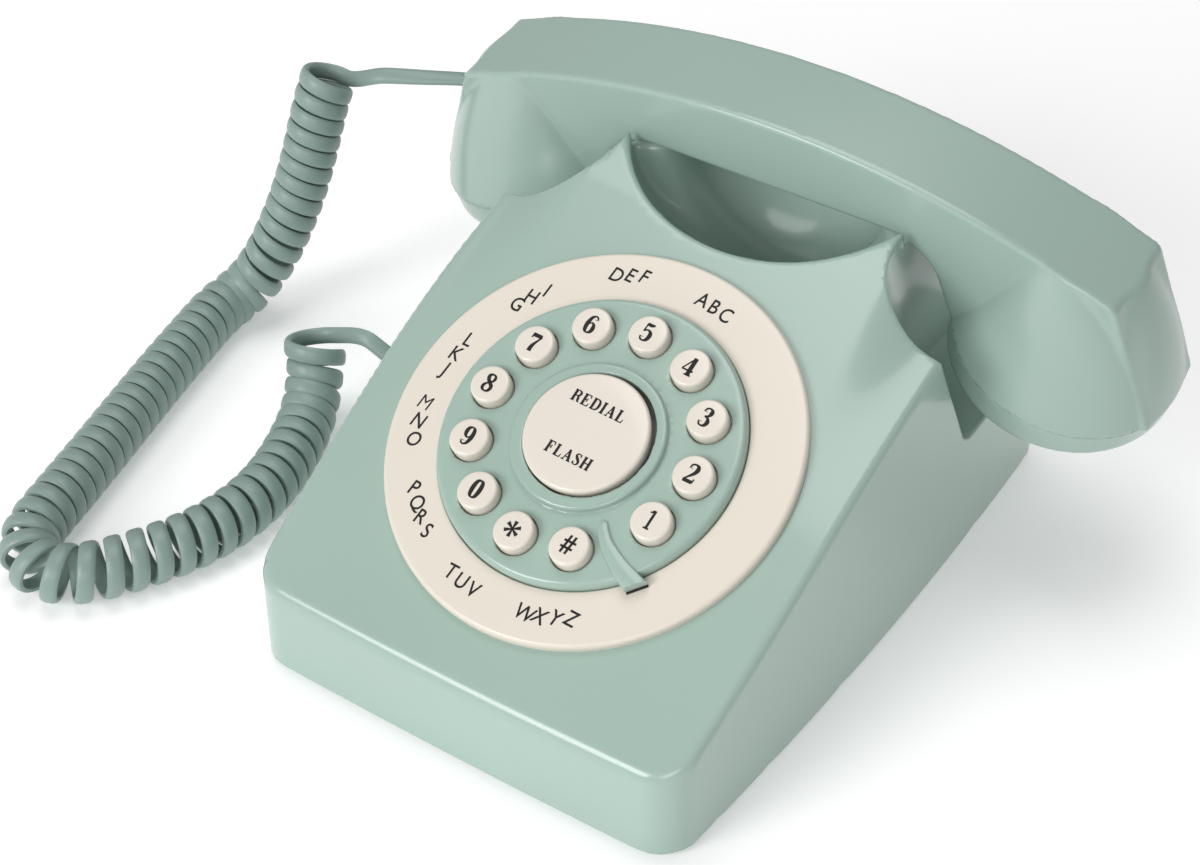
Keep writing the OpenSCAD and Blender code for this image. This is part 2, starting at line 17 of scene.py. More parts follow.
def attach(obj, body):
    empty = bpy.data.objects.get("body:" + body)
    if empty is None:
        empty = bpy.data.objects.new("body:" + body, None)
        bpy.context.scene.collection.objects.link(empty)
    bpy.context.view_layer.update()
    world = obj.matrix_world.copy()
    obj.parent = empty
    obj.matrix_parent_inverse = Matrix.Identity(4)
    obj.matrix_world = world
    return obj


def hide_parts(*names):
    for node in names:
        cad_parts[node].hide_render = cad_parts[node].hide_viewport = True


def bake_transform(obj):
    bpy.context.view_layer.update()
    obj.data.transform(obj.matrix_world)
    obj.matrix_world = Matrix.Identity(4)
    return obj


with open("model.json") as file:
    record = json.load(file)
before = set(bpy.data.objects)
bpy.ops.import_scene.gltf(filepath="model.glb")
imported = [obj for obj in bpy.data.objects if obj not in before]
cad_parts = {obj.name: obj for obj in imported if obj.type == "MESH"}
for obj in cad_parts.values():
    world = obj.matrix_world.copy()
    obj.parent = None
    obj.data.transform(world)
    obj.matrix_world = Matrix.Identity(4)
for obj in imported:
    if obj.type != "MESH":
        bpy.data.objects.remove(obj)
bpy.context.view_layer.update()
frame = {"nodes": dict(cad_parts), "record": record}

MM = 0.001
TINY = 1e-9
WELD_DISTANCE = 1e-7
SHARP_ANGLE = math.radians(40)

# ---------------------------------------------------------------- design values, millimetres and degrees
BODY_ORIGIN = (0.0, -101.6, 1.5)
BODY_DEPTH = 204.0
FRONT_HEIGHT = 27.0
SLOPE = math.radians(27)
CORNER_RADIUS = 10.0
WALL = 2.4
DIAL_Y = 64.7
RING_RADIUS = 57.6
RING_HEIGHT = 2.4
BEZEL_RADIUS = 42.0
BEZEL_HEIGHT = 5.2
KEY_CIRCLE = 32.0
KEY_PITCH = 29.1
KEY_FIRST = -27.0
KEY_RADIUS = 5.6
KEY_TOP = 8.3
ROCKER_RADIUS = 17.3
ROCKER_TOP = 8.7
NOTCH_RADIUS = 26.5
NOTCH_CENTRE = (70.5, 147.0, 92.0)
SHELF_HEIGHT = 40.0
CUP_ORIGIN = (169.3, 66.8)
LEAN = math.radians(10)
CUP_X = 86.0
CUP_RADIUS = 33.0
CUP_TILT = math.radians(15)
CUP_TOP = 38.0
GRIP_HALF = 14.6
GRIP_UNDERSIDE = 30.3
CREST_TOP = 53.3
CREST_END = 31.3
CREST_HALF = 104.0
CREST_RADIUS = (CREST_HALF ** 2 + (CREST_TOP - CREST_END) ** 2) / (2 * (CREST_TOP - CREST_END))
SHELL_WALL = 2.2
PANEL_Z = FRONT_HEIGHT + DIAL_Y * math.tan(SLOPE)

KEYS = ("1", "2", "3", "4", "5", "6", "7", "8", "9", "0", "star", "hash")


# ---------------------------------------------------------------- frames
def body_frame():
    return Matrix.Translation(Vector(BODY_ORIGIN) * MM) @ Matrix.Scale(MM, 4)


def panel_frame():
    return body_frame() @ Matrix.Translation((0, DIAL_Y, PANEL_Z)) @ Matrix.Rotation(SLOPE, 4, "X")


def handset_frame():
    return body_frame() @ Matrix.Translation((0, *CUP_ORIGIN)) @ Matrix.Rotation(LEAN, 4, "X")


def key_angle(index):
    return math.radians(KEY_FIRST + index * KEY_PITCH)


def key_frame(index):
    a = key_angle(index)
    return panel_frame() @ Matrix.Translation((KEY_CIRCLE * math.cos(a), KEY_CIRCLE * math.sin(a), 0))


# ---------------------------------------------------------------- camera
CAMERA_PLACE = (0.2653, -0.4332, 0.4629)
CAMERA_AZIMUTH = math.radians(33.61)
CAMERA_ELEVATION = math.radians(39.75)
CAMERA_ROLL = math.radians(0.48)
CAMERA_LENS = 71.28


def make_camera():
    data = bpy.data.cameras.new("camera")
    data.sensor_width = 36.0
    data.lens = CAMERA_LENS
    camera = bpy.data.objects.new("camera", data)
    bpy.context.scene.collection.objects.link(camera)
    turn = (Matrix.Rotation(CAMERA_AZIMUTH, 4, "Z")
            @ Matrix.Rotation(math.pi / 2 - CAMERA_ELEVATION, 4, "X")
            @ Matrix.Rotation(CAMERA_ROLL, 4, "Z"))
    camera.matrix_world = Matrix.Translation(CAMERA_PLACE) @ turn
    bpy.context.scene.camera = camera


# ---------------------------------------------------------------- meshes
def unit(v):
    return v / np.maximum(np.linalg.norm(v, axis=-1, keepdims=True), TINY)


def add_object(name, vertices, faces, place=None, smooth=True):
    """An object from points in a frame's own units; place takes them to the shared frame."""
    mesh = bpy.data.meshes.new(name)
    mesh.from_pydata([tuple(v) for v in vertices], [], [tuple(f) for f in faces])
    mesh.transform(place or Matrix.Identity(4))
    mesh.polygons.foreach_set("use_smooth", [smooth] * len(mesh.polygons))
    mesh.update()
    piece = bpy.data.objects.new(name, mesh)
    bpy.context.scene.collection.objects.link(piece)
    return piece


def arc(cx, cy, radius, start, stop, count):
    """Points of a circle's arc, angles in degrees."""
    angles = np.radians(np.linspace(start, stop, count + 1))
    return [(cx + radius * math.cos(a), cy + radius * math.sin(a)) for a in angles]


def lathe(name, profile, place, segments=128):
    """A turned piece from (radius, height) points; the profile's ends close on the axis or on each other."""
    rows = len(profile)
    vertices = [(r * math.cos(a), r * math.sin(a), h)
                for a in np.linspace(0, 2 * math.pi, segments, endpoint=False) for r, h in profile]
    closed = profile[0][0] > 0
    faces = []
    for s in range(segments):
        here, there = s * rows, (s + 1) % segments * rows
        for k in range(rows if closed else rows - 1):
            n = (k + 1) % rows
            faces.append((here + k, there + k, there + n, here + n))
    piece = add_object(name, vertices, faces, place)
    weld(piece)
    return piece


def weld(piece):
    """Joins a piece's doubled points, turns its faces out and stops smooth shading at its sharp edges."""
    work = bmesh.new()
    work.from_mesh(piece.data)
    bmesh.ops.remove_doubles(work, verts=work.verts, dist=WELD_DISTANCE)
    bmesh.ops.dissolve_degenerate(work, edges=work.edges, dist=WELD_DISTANCE)
    bmesh.ops.recalc_face_normals(work, faces=work.faces)
    work.to_mesh(piece.data)
    work.free()
    piece.data.set_sharp_from_angle(angle=SHARP_ANGLE)


# ---------------------------------------------------------------- solid fields and their surface
# How strongly a vertex is held to the middle of its cell, and how far it may leave it, in grid steps
CENTRING = 0.08
REACH = 0.75
# A face whose normal agrees less than this with the surface is folded over
FOLDED = 0.6
# A quad whose diagonal leaves the surface by more than this is cut in two, in the frame's own units
BENT = 0.03
# Corners whose own normal agrees at least this well with their face's side are shaded smoothly
SMOOTH = 0.965
# What polygonise sums in each cell: a count, the crossings, the right side and the matrix of the planes
SUM_ROWS = 13
CROSSING_ROWS = slice(1, 4)
LEVEL_ROWS = slice(4, 7)
MATRIX_ROWS = [7, 8, 9, 8, 10, 11, 9, 11, 12]


def fillet_max(a, b, radius):
    """The intersection of two fields, with the edge rounded."""
    return (np.minimum(np.maximum(a, b), -radius)
            + np.hypot(np.maximum(a + radius, 0), np.maximum(b + radius, 0)))


def fillet_min(a, b, radius):
    """The union of two fields, with the inner corner rounded."""
    return -fillet_max(-a, -b, radius)


def ellipsoid(x, y, z, centre, radii):
    p = np.stack([(x - centre[0]) / radii[0], (y - centre[1]) / radii[1], (z - centre[2]) / radii[2]])
    near = np.sqrt((p ** 2).sum(0))
    slope = np.sqrt(((p / np.array(radii).reshape((3,) + (1,) * x.ndim)) ** 2).sum(0))
    return near * (near - 1) / np.maximum(slope, 1e-6)


def box_field(x, y, z, low, high):
    far = [np.maximum(lo - c, c - hi) for c, lo, hi in zip((x, y, z), low, high)]
    return np.maximum(np.maximum(far[0], far[1]), far[2])


def gradient(field, points, reach=0.05):
    columns = []
    for axis in range(3):
        step = np.zeros(3)
        step[axis] = reach
        columns.append((field(*(points + step).T) - field(*(points - step).T)) / (2 * reach))
    return np.stack(columns, 1)


def spread_to_cells(values, axis, cells):
    """Adds what belongs to the grid's edges along one axis up over the four cells round each edge."""
    total = np.zeros(values.shape[:-3] + cells)
    others = [k for k in range(3) if k != axis]
    for i in (0, 1):
        for j in (0, 1):
            window = [slice(None)] * 3
            window[others[0]] = slice(i, cells[others[0]] + i)
            window[others[1]] = slice(j, cells[others[1]] + j)
            total += values[(Ellipsis, *window)]
    return total


def polygonise(field, low, high, step):
    """The field's zero level as quads: a vertex in each cell the surface crosses, where the planes of the
    surface through that cell meet best, so that edges and corners stay crisp."""
    lines = [np.arange(lo - 2 * step, hi + 3 * step, step) for lo, hi in zip(low, high)]
    grid = np.stack(np.meshgrid(*lines, indexing="ij"))
    value = field(*grid)
    cells = tuple(n - 1 for n in value.shape)
    sums = np.zeros((SUM_ROWS,) + cells)
    crossings = []
    for axis in range(3):
        first = np.take(value, range(cells[axis]), axis)
        second = np.take(value, range(1, cells[axis] + 1), axis)
        crossed = (first < 0) != (second < 0)
        place = np.take(grid, range(cells[axis]), axis + 1)[:, crossed].T
        place[:, axis] += step * (first[crossed] / (first[crossed] - second[crossed]))
        slope = unit(gradient(field, place))
        level = (slope * place).sum(1)
        rows = [np.ones(len(place)), *place.T, *(slope * level[:, None]).T]
        rows += [slope[:, i] * slope[:, j] for i in range(3) for j in range(i, 3)]
        values = np.zeros((SUM_ROWS,) + crossed.shape)
        values[:, crossed] = np.array(rows)
        sums += spread_to_cells(values, axis, cells)
        crossings.append((crossed, first < 0))
    used = sums[0] > 0
    number = np.full(cells, -1)
    number[used] = np.arange(used.sum())
    picked = sums[:, used].T
    middle = picked[:, CROSSING_ROWS] / picked[:, :1]
    planes = picked[:, MATRIX_ROWS].reshape(-1, 3, 3) + CENTRING * np.eye(3)
    points = np.linalg.solve(planes, (picked[:, LEVEL_ROWS] + CENTRING * middle)[..., None])[..., 0]
    away = points - middle
    far = np.linalg.norm(away, axis=1, keepdims=True)
    points = middle + away * np.minimum(1, REACH * step / np.maximum(far, TINY))
    faces = joined_quads(crossings, number, cells)
    return unfolded(field, points, middle, faces), faces


def unfolded(field, points, middle, faces):
    """Where a face turned against the surface, its vertices go back to the middle of their cells."""
    for _ in range(3):
        corner = points[faces]
        normal = unit(np.cross(corner[:, 2] - corner[:, 0], corner[:, 3] - corner[:, 1]))
        wrong = (normal * unit(gradient(field, corner.mean(1)))).sum(1) < FOLDED
        back = np.unique(faces[wrong])
        points[back] = middle[back]
    return points


def split_faces(field, points, faces):
    """Quads that bend are cut in two along the diagonal that lies nearer the surface."""
    a, b, c, d = (points[faces[:, k]] for k in range(4))
    first = np.abs(field(*((a + c) / 2).T))
    second = np.abs(field(*((b + d) / 2).T))
    bent = np.maximum(first, second) > BENT
    kept = faces[~bent]
    one = faces[bent & (first <= second)]
    two = faces[bent & (first > second)]
    triangles = np.concatenate([one[:, [0, 1, 2]], one[:, [0, 2, 3]], two[:, [0, 1, 3]], two[:, [1, 2, 3]]])
    return kept, triangles


def joined_quads(crossings, number, cells):
    """A quad round each crossed grid edge, wound so that it faces out."""
    faces = []
    for axis, (crossed, inside) in enumerate(crossings):
        one, two = (axis + 1) % 3, (axis + 2) % 3
        where = np.argwhere(crossed)
        ok = (where[:, one] > 0) & (where[:, two] > 0)
        ok &= (where[:, one] < cells[one]) & (where[:, two] < cells[two])
        where = where[ok]
        corners = []
        for i, j in ((0, 0), (1, 0), (1, 1), (0, 1)):
            at = where.copy()
            at[:, one] -= 1 - i
            at[:, two] -= 1 - j
            corners.append(number[tuple(at.T)])
        quads = np.stack(corners, 1)
        flip = ~inside[tuple(where.T)]
        quads[flip] = quads[flip][:, ::-1]
        faces.append(quads)
    return np.concatenate(faces)


def corner_normals(field, points, faces):
    """A normal for each corner of each face: the vertex's own, or across an edge that of the face's side."""
    own = unit(gradient(field, points))[faces]
    centre = points[faces].mean(1, keepdims=True)
    inside = 0.6 * points[faces] + 0.4 * centre
    side = unit(gradient(field, inside.reshape(-1, 3))).reshape(own.shape)
    smooth = (own * side).sum(-1, keepdims=True) > SMOOTH
    return np.where(smooth, own, side)


def moulded(name, field, low, high, step, place):
    """A moulded piece: the surface of a field, with the field's own normals for its shading."""
    points, faces = polygonise(field, low, high, step)
    groups = split_faces(field, points, faces)
    normals = np.concatenate([corner_normals(field, points, group).reshape(-1, 3) for group in groups])
    piece = add_object(name, points, [face for group in groups for face in group.tolist()], place)
    turn = np.array(place.to_3x3().normalized())
    piece.data.normals_split_custom_set([tuple(n) for n in normals @ turn.T])
    return piece


# ---------------------------------------------------------------- curly cord
# The route's points are the CAD's. CORD_LENGTH is the whole ribbon's, in metres.
CORD_WIDTH = 5.0
CORD_THICKNESS = 2.6
COIL_RADIUS = 7.4
COIL_STEP = 0.25
# How far along the coil its bends are evened out
BEND_SOFTENING = 5.0
# The last loop before the body is wider, and starts this far from the coil's end
LOOP_RADIUS = 8.6
LOOP_LENGTH = 9
# The coil's centre where it lies on the table
LYING_HEIGHT = COIL_RADIUS + CORD_THICKNESS / 2 + 0.1
TAIL_STEP = 1.5
BRIDGE_STEP = 1.2
TURN_POINTS = 28
TAIL_HANDSET = [(-111.6, 65.3, 81.7), (-116, 65.3, 81.7), (-121, 63, 81.6), (-126, 60.4, 81.4),
                (-132, 57.6, 81.1), (-138.6, 54.6, 80.7)]
COIL_PATH = [(-154.8, 46.4, 79), (-155.6, 43, 72), (-156.2, 39.6, 63), (-157, 35.7, 52.5),
             (-158.4, 31.4, 42), (-160.6, 26.4, 31.4), (-163.8, 21.8, 21.4), (-167.8, 17.2, 13),
             (-171.2, 11.4, 8.4), (-171.2, 3, 7.3), (-168.6, -9, 7.3), (-166, -21, 7.3),
             (-163, -34, 7.3), (-160, -46, 7.3), (-157, -58, 7.3), (-154, -70, 7.3),
             (-151.4, -81, 7.3), (-149, -91, 7.3), (-147, -100, 7.3), (-144, -109, 7.3),
             (-137.6, -115.4, 7.3), (-129, -116, 7.3), (-121.6, -111, 7.3), (-115.6, -102.6, 7.3),
             (-109.6, -92, 7.3), (-105, -81, 7.3), (-102.6, -69, 7.3), (-102.6, -56, 7.3),
             (-105.4, -43, 7.3), (-110, -30, 7.6), (-114.4, -19.4, 11), (-117.6, -12.4, 18),
             (-120, -8.4, 27)]
TAIL_BODY = [(-105, 0, 26.8), (-97, 0.8, 22.6), (-89, 1.4, 18.6), (-83, 1.4, 16),
             (-80, 1.4, 15.7), (-76.9, 1.4, 15.7)]
# How far apart the turns lie, by distance along the coil from its upper end
PITCH_AT = (0, 50, 64, 86, 104, 185, 198, 210, 232, 246, 262, 300, 314, 334, 352)
PITCH = (5.3, 5.4, 6.5, 6.5, 5.5, 5.4, 6.2, 7.4, 7.6, 6.8, 6.2, 5.8, 6.4, 6.6, 6.2)


def smooth_line(points, step):
    """Evenly spaced points on a smooth curve through the given ones."""
    p = np.array(points, float)
    p = np.vstack([2 * p[0] - p[1], p, 2 * p[-1] - p[-2]])
    fine = []
    for a, b, c, d in zip(p, p[1:], p[2:], p[3:]):
        for t in np.linspace(0, 1, 20, endpoint=False):
            fine.append(0.5 * (2 * b + (c - a) * t + (2 * a - 5 * b + 4 * c - d) * t ** 2
                               + (3 * b - a - 3 * c + d) * t ** 3))
    fine = np.array(fine + [p[-2]])
    along = np.r_[0, np.cumsum(np.linalg.norm(np.diff(fine, axis=0), axis=1))]
    even = np.linspace(0, along[-1], max(2, int(round(along[-1] / step)) + 1))
    return np.stack([np.interp(even, along, fine[:, k]) for k in range(3)], 1)


def tangents(line):
    return unit(np.gradient(line, axis=0))


def carried(direction, along):
    """A direction carried along a line without twisting."""
    found = []
    for t in along:
        direction = unit(direction - t * (direction @ t))
        found.append(direction)
    return np.array(found)


def bridge(start, start_way, stop, stop_way):
    """A smooth line between two points that keeps the direction at each."""
    reach = np.linalg.norm(stop - start) * 0.9
    t = np.linspace(0, 1, max(3, int(reach / BRIDGE_STEP)))[:, None]
    a, b = unit(start_way) * reach, unit(stop_way) * reach
    return ((2 * t ** 3 - 3 * t ** 2 + 1) * start + (t ** 3 - 2 * t ** 2 + t) * a
            + (3 * t ** 2 - 2 * t ** 3) * stop + (t ** 3 - t ** 2) * b)


def softened(line, reach):
    """The line with its bends evened out, so that the coil turns as slowly as a springy one does."""
    weight = np.exp(-0.5 * (np.arange(-3 * reach, 3 * reach + 1) / reach) ** 2)
    n = len(weight) // 2
    before = 2 * line[0] - line[n:0:-1]
    after = 2 * line[-1] - line[-2:-n - 2:-1]
    full = np.vstack([before, line, after])
    return np.stack([np.convolve(column, weight / weight.sum(), "valid") for column in full.T], 1)


def coil(start_phase, last_phase):
    """The curly part's own line, a left-handed helix round the coil's path, with its axis at each point."""
    centre = smooth_line(COIL_PATH, COIL_STEP)
    centre[:, 2] = np.maximum(centre[:, 2], LYING_HEIGHT)
    centre = softened(centre, BEND_SOFTENING / COIL_STEP)
    way = tangents(centre)
    side = carried(np.array([1.0, 0, 0]), way)
    along = np.linspace(0, len(centre) * COIL_STEP, len(centre))
    phase = np.cumsum(2 * math.pi / np.interp(along, PITCH_AT, PITCH)) * COIL_STEP
    turns = (phase[-1] + last_phase) / phase[-1]
    even = np.linspace(0, phase[-1], int(phase[-1] / (2 * math.pi) * TURN_POINTS))
    at = np.interp(even, phase, np.arange(len(centre)))
    pick = [np.stack([np.interp(at, np.arange(len(centre)), v[:, k]) for k in range(3)], 1)
            for v in (centre, way, side)]
    middle, axis, across = pick[0], unit(pick[1]), unit(pick[2])
    wider_from = along[-1] - LOOP_LENGTH
    radius = np.interp(at * COIL_STEP, (wider_from, along[-1]), (COIL_RADIUS, LOOP_RADIUS))[:, None]
    angle = (start_phase - even * turns)[:, None]
    up = np.cross(axis, across)
    return middle + radius * (np.cos(angle) * across + np.sin(angle) * up), axis


def cord_line():
    """The cord's whole centreline and the direction of its width at each point."""
    handset_tail = smooth_line(TAIL_HANDSET, TAIL_STEP)
    body_tail = smooth_line(TAIL_BODY, TAIL_STEP)
    trial = [math.radians(a) for a in range(0, 360, 5)]

    def meets_handset(phase):
        line, _ = coil(phase, 0)
        return unit(line[1] - line[0]) @ unit(line[0] - handset_tail[-1])

    first = max(trial, key=meets_handset)

    def meets_body(extra):
        line, _ = coil(first, extra)
        return unit(line[-1] - line[-2]) @ unit(body_tail[0] - line[-1])

    helix, axis = coil(first, max(trial, key=meets_body))
    into = bridge(handset_tail[-1], handset_tail[-1] - handset_tail[-2], helix[0], helix[1] - helix[0])
    out = bridge(helix[-1], helix[-1] - helix[-2], body_tail[0], body_tail[1] - body_tail[0])
    line = np.vstack([handset_tail[:-1], into[:-1], helix, out[1:-1], body_tail])
    before, after = len(handset_tail) + len(into) - 2, len(out) - 2 + len(body_tail)
    flat_at_handset = np.array([0, -math.cos(LEAN), -math.sin(LEAN)])
    flat_at_body = np.array([0, 1.0, 0])
    fade_in = np.linspace(0, 1, before)[:, None] ** 1.5
    fade_out = np.linspace(0, 1, after)[:, None]
    width = np.vstack([flat_at_handset * (1 - fade_in) + axis[0] * fade_in, axis,
                       axis[-1] * (1 - fade_out) + flat_at_body * fade_out])
    way = tangents(line)
    return line, unit(width - way * (width * way).sum(1, keepdims=True)), way


def ribbon_section(count=12):
    """A flat cord's rounded section: shares of its half width and half thickness."""
    angles = np.linspace(0, 2 * math.pi, count, endpoint=False) + math.pi / count
    squareness = 0.72
    return [(math.copysign(abs(math.cos(a)) ** squareness, math.cos(a)),
             math.copysign(abs(math.sin(a)) ** squareness, math.sin(a))) for a in angles]


def make_cord():
    line, width, way = cord_line()
    thick = np.cross(way, width)
    section = ribbon_section()
    n = len(section)
    vertices = np.concatenate([line + width * (s[0] * CORD_WIDTH / 2) + thick * (s[1] * CORD_THICKNESS / 2)
                               for s in section]).reshape(n, len(line), 3).transpose(1, 0, 2).reshape(-1, 3)
    faces = [(i * n + k, i * n + (k + 1) % n, (i + 1) * n + (k + 1) % n, (i + 1) * n + k)
             for i in range(len(line) - 1) for k in range(n)]
    faces += [tuple(range(n))[::-1], tuple((len(line) - 1) * n + k for k in range(n))]
    piece = add_object("curly_cord", vertices, faces, Matrix.Scale(MM, 4))
    weld(piece)
    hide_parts("cord_tail_handset", "cord_coil", "cord_tail_body")
    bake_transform(piece)
    return piece


# ---------------------------------------------------------------- materials
def linear(red, green, blue):
    """A colour given as 0 to 255 per channel, as the shader takes it."""
    return tuple((c / 255 / 12.92) if c <= 10 else ((c / 255 + 0.055) / 1.055) ** 2.4
                 for c in (red, green, blue)) + (1.0,)


class Nodes:
    """A material's node tree with short calls to add to it."""

    def __init__(self, name):
        self.material = bpy.data.materials.new(name)
        self.material.use_nodes = True
        self.tree = self.material.node_tree
        self.shader = self.tree.nodes["Principled BSDF"]
        self.place = self.tree.nodes.new("ShaderNodeTexCoord").outputs["Object"]

    def add(self, kind, **values):
        node = self.tree.nodes.new("ShaderNode" + kind)
        for key, value in values.items():
            setattr(node, key, value)
        return node

    def link(self, a, b):
        self.tree.links.new(a, b)

    def noise(self, scale, detail=3.0, stretch=None):
        node = self.add("TexNoise")
        node.inputs["Scale"].default_value = scale
        node.inputs["Detail"].default_value = detail
        source = self.place
        if stretch:
            mapping = self.add("Mapping")
            mapping.inputs["Scale"].default_value = stretch
            self.link(source, mapping.inputs["Vector"])
            source = mapping.outputs["Vector"]
        self.link(source, node.inputs["Vector"])
        return node.outputs["Fac"]

    def ramp(self, value, low, high, start=0.3, stop=0.7):
        node = self.add("ValToRGB")
        node.color_ramp.elements[0].position = start
        node.color_ramp.elements[0].color = low
        node.color_ramp.elements[1].position = stop
        node.color_ramp.elements[1].color = high
        self.link(value, node.inputs["Fac"])
        return node.outputs["Color"]

    def between(self, value, low, high):
        node = self.add("MapRange")
        node.inputs["To Min"].default_value = low
        node.inputs["To Max"].default_value = high
        self.link(value, node.inputs["Value"])
        return node.outputs["Result"]

    def bump(self, value, height, strength=1.0):
        node = self.add("Bump")
        node.inputs["Distance"].default_value = height
        node.inputs["Strength"].default_value = strength
        self.link(value, node.inputs["Height"])
        self.link(node.outputs["Normal"], self.shader.inputs["Normal"])


def plastic(name, colour, spread, gloss, coat=0.0, grain=900.0, grain_height=0.00001):
    """A moulded plastic: faint clouding of its colour and gloss, and a fine skin."""
    nodes = Nodes(name)
    low = linear(*(c * (1 - spread) for c in colour))
    high = linear(*(min(255, c * (1 + spread)) for c in colour))
    nodes.link(nodes.ramp(nodes.noise(9.0), low, high), nodes.shader.inputs["Base Color"])
    nodes.link(nodes.between(nodes.noise(35.0), *gloss), nodes.shader.inputs["Roughness"])
    nodes.bump(nodes.noise(grain, 2.0), grain_height)
    nodes.shader.inputs["Coat Weight"].default_value = coat
    nodes.shader.inputs["Coat Roughness"].default_value = 0.08
    return nodes


BODY_COLOUR = (159, 182, 172)


def body_green():
    return plastic("body_green", BODY_COLOUR, 0.012, (0.2, 0.27), coat=0.25).material


def base_green():
    nodes = plastic("base_green", (150, 180, 166), 0.02, (0.5, 0.6), grain=1500, grain_height=0.00005)
    return nodes.material


def cream_plastic():
    return plastic("cream_plastic", (224, 216, 203), 0.008, (0.26, 0.34)).material


def key_cream():
    return plastic("key_cream", (226, 218, 206), 0.008, (0.22, 0.3), coat=0.2).material


# Black for printed marks, and also for the painted shadow bar under the finger stop's end
def black_print_and_shade():
    return plastic("black_print_and_shade", (7, 7, 9), 0.1, (0.55, 0.7)).material


def cord_green():
    nodes = plastic("cord_green", (136, 156, 150), 0.03, (0.34, 0.46), grain=2500, grain_height=0.00003)
    return nodes.material


def plug_plastic():
    return plastic("plug_plastic", (120, 132, 126), 0.02, (0.25, 0.35)).material


def black_plastic():
    nodes = plastic("black_plastic", (38, 39, 40), 0.06, (0.35, 0.5), grain=1600, grain_height=0.00004)
    return nodes.material


def foot_rubber():
    return plastic("foot_rubber", (52, 54, 53), 0.08, (0.7, 0.85), grain=1800, grain_height=0.00008).material


def silicone():
    return plastic("silicone", (208, 208, 204), 0.02, (0.6, 0.75)).material


def capsule_grey():
    return plastic("capsule_grey", (142, 145, 145), 0.03, (0.35, 0.5)).material


def board_green():
    """A circuit board: solder mask with lighter tracks."""
    nodes = Nodes("board_green")
    tracks = nodes.add("TexBrick")
    tracks.inputs["Scale"].default_value = 260
    tracks.inputs["Color1"].default_value = linear(24, 92, 52)
    tracks.inputs["Color2"].default_value = linear(30, 104, 60)
    tracks.inputs["Mortar"].default_value = linear(96, 150, 84)
    nodes.link(nodes.place, tracks.inputs["Vector"])
    nodes.link(tracks.outputs["Color"], nodes.shader.inputs["Base Color"])
    nodes.link(nodes.between(nodes.noise(60.0), 0.3, 0.42), nodes.shader.inputs["Roughness"])
    return nodes.material


def metal(name, colour, gloss, stretch):
    """A metal with drawn or turned marks."""
    nodes = Nodes(name)
    marks = nodes.noise(420.0, 4.0, stretch)
    low = linear(*(c * 0.86 for c in colour))
    nodes.link(nodes.ramp(marks, low, linear(*colour)), nodes.shader.inputs["Base Color"])
    nodes.link(nodes.between(marks, *gloss), nodes.shader.inputs["Roughness"])
    nodes.shader.inputs["Metallic"].default_value = 1.0
    nodes.bump(marks, 0.00002, 0.5)
    return nodes.material


def steel_screw():
    return metal("steel_screw", (196, 196, 192), (0.25, 0.42), (1, 1, 0.2))


def spring_steel():
    return metal("spring_steel", (204, 204, 204), (0.18, 0.3), (0.3, 0.3, 2))


def ballast_steel():
    return metal("ballast_steel", (120, 120, 124), (0.4, 0.6), (0.2, 1, 1))


TABLE_GLOW = 0.25


def floor_paint():
    nodes = Nodes("floor_paint")
    nodes.link(nodes.ramp(nodes.noise(3.0), linear(246, 246, 246), linear(250, 250, 250)),
               nodes.shader.inputs["Base Color"])
    nodes.link(nodes.between(nodes.noise(20.0), 0.75, 0.9), nodes.shader.inputs["Roughness"])
    nodes.shader.inputs["Emission Color"].default_value = (1, 1, 1, 1)
    nodes.shader.inputs["Emission Strength"].default_value = TABLE_GLOW
    return nodes.material


SLOT_MATERIALS = {
    "body_green": body_green, "base_green": base_green, "cream_plastic": cream_plastic,
    "key_cream": key_cream, "foot_rubber": foot_rubber, "steel_screw": steel_screw, "silicone": silicone,
    "board_green": board_green, "black_plastic": black_plastic, "spring_steel": spring_steel,
    "ballast_steel": ballast_steel, "capsule_grey": capsule_grey, "plug_plastic": plug_plastic,
    "cord_green": cord_green}


def make_materials():
    return {name: maker() for name, maker in SLOT_MATERIALS.items()}


def paint(piece, material):
    piece.data.materials.clear()
    piece.data.materials.append(material)


def dress(piece, body, slot_name, replaced=()):
    """Puts a new piece on its CAD body, in its slot's material, in place of the CAD nodes named."""
    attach(piece, body)
    paint(piece, materials[slot_name])
    if replaced:
        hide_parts(*replaced)
    return piece


# ---------------------------------------------------------------- housing
FRONT_BOW = 0.8
RIDGE_FILLET = 2.2
BROW_START = (137.0, 96.8)
BROW_SLOPE = 0.2
BACK_START = (187.0, 103.4)
BACK_SLOPE = 1.14
# Openings in flat walls: the low and high corner, along the wall and up
LINE_SOCKET = ((22.8, 9.4), (37.2, 23))
RINGER_SLOT = ((-36, 11), (-24, 15.2))
CORD_SOCKET = ((96.8, 8), (109.2, 20.4))
# The fingers' hollow under the handle: the centre and radii of its wide front and of its deep middle
HOLLOW_FRONT = ((0, 161, 96), (46, 38, 30))
HOLLOW_MIDDLE = ((0, 165, 98), (34, 29, 32))
HOLLOW_STOP = 149
HOOK_SLOT = ((37.1, 159.7, 80), (40.9, 168.3, 120))
SCREW_POST = 4.4
SCREW_X, SCREW_Y = 61, (14, 190)


def handset_channel(y, z):
    """The trough between the horns and the tower's back that the handle lies in."""
    dy, dz = y - CUP_ORIGIN[0], z - CUP_ORIGIN[1]
    across = dy * math.cos(LEAN) + dz * math.sin(LEAN)
    above = dz * math.cos(LEAN) - dy * math.sin(LEAN)
    sides = np.maximum(-15.6 - across, across - 16)
    return fillet_max(sides, GRIP_UNDERSIDE - 0.1 - above, 1.2)


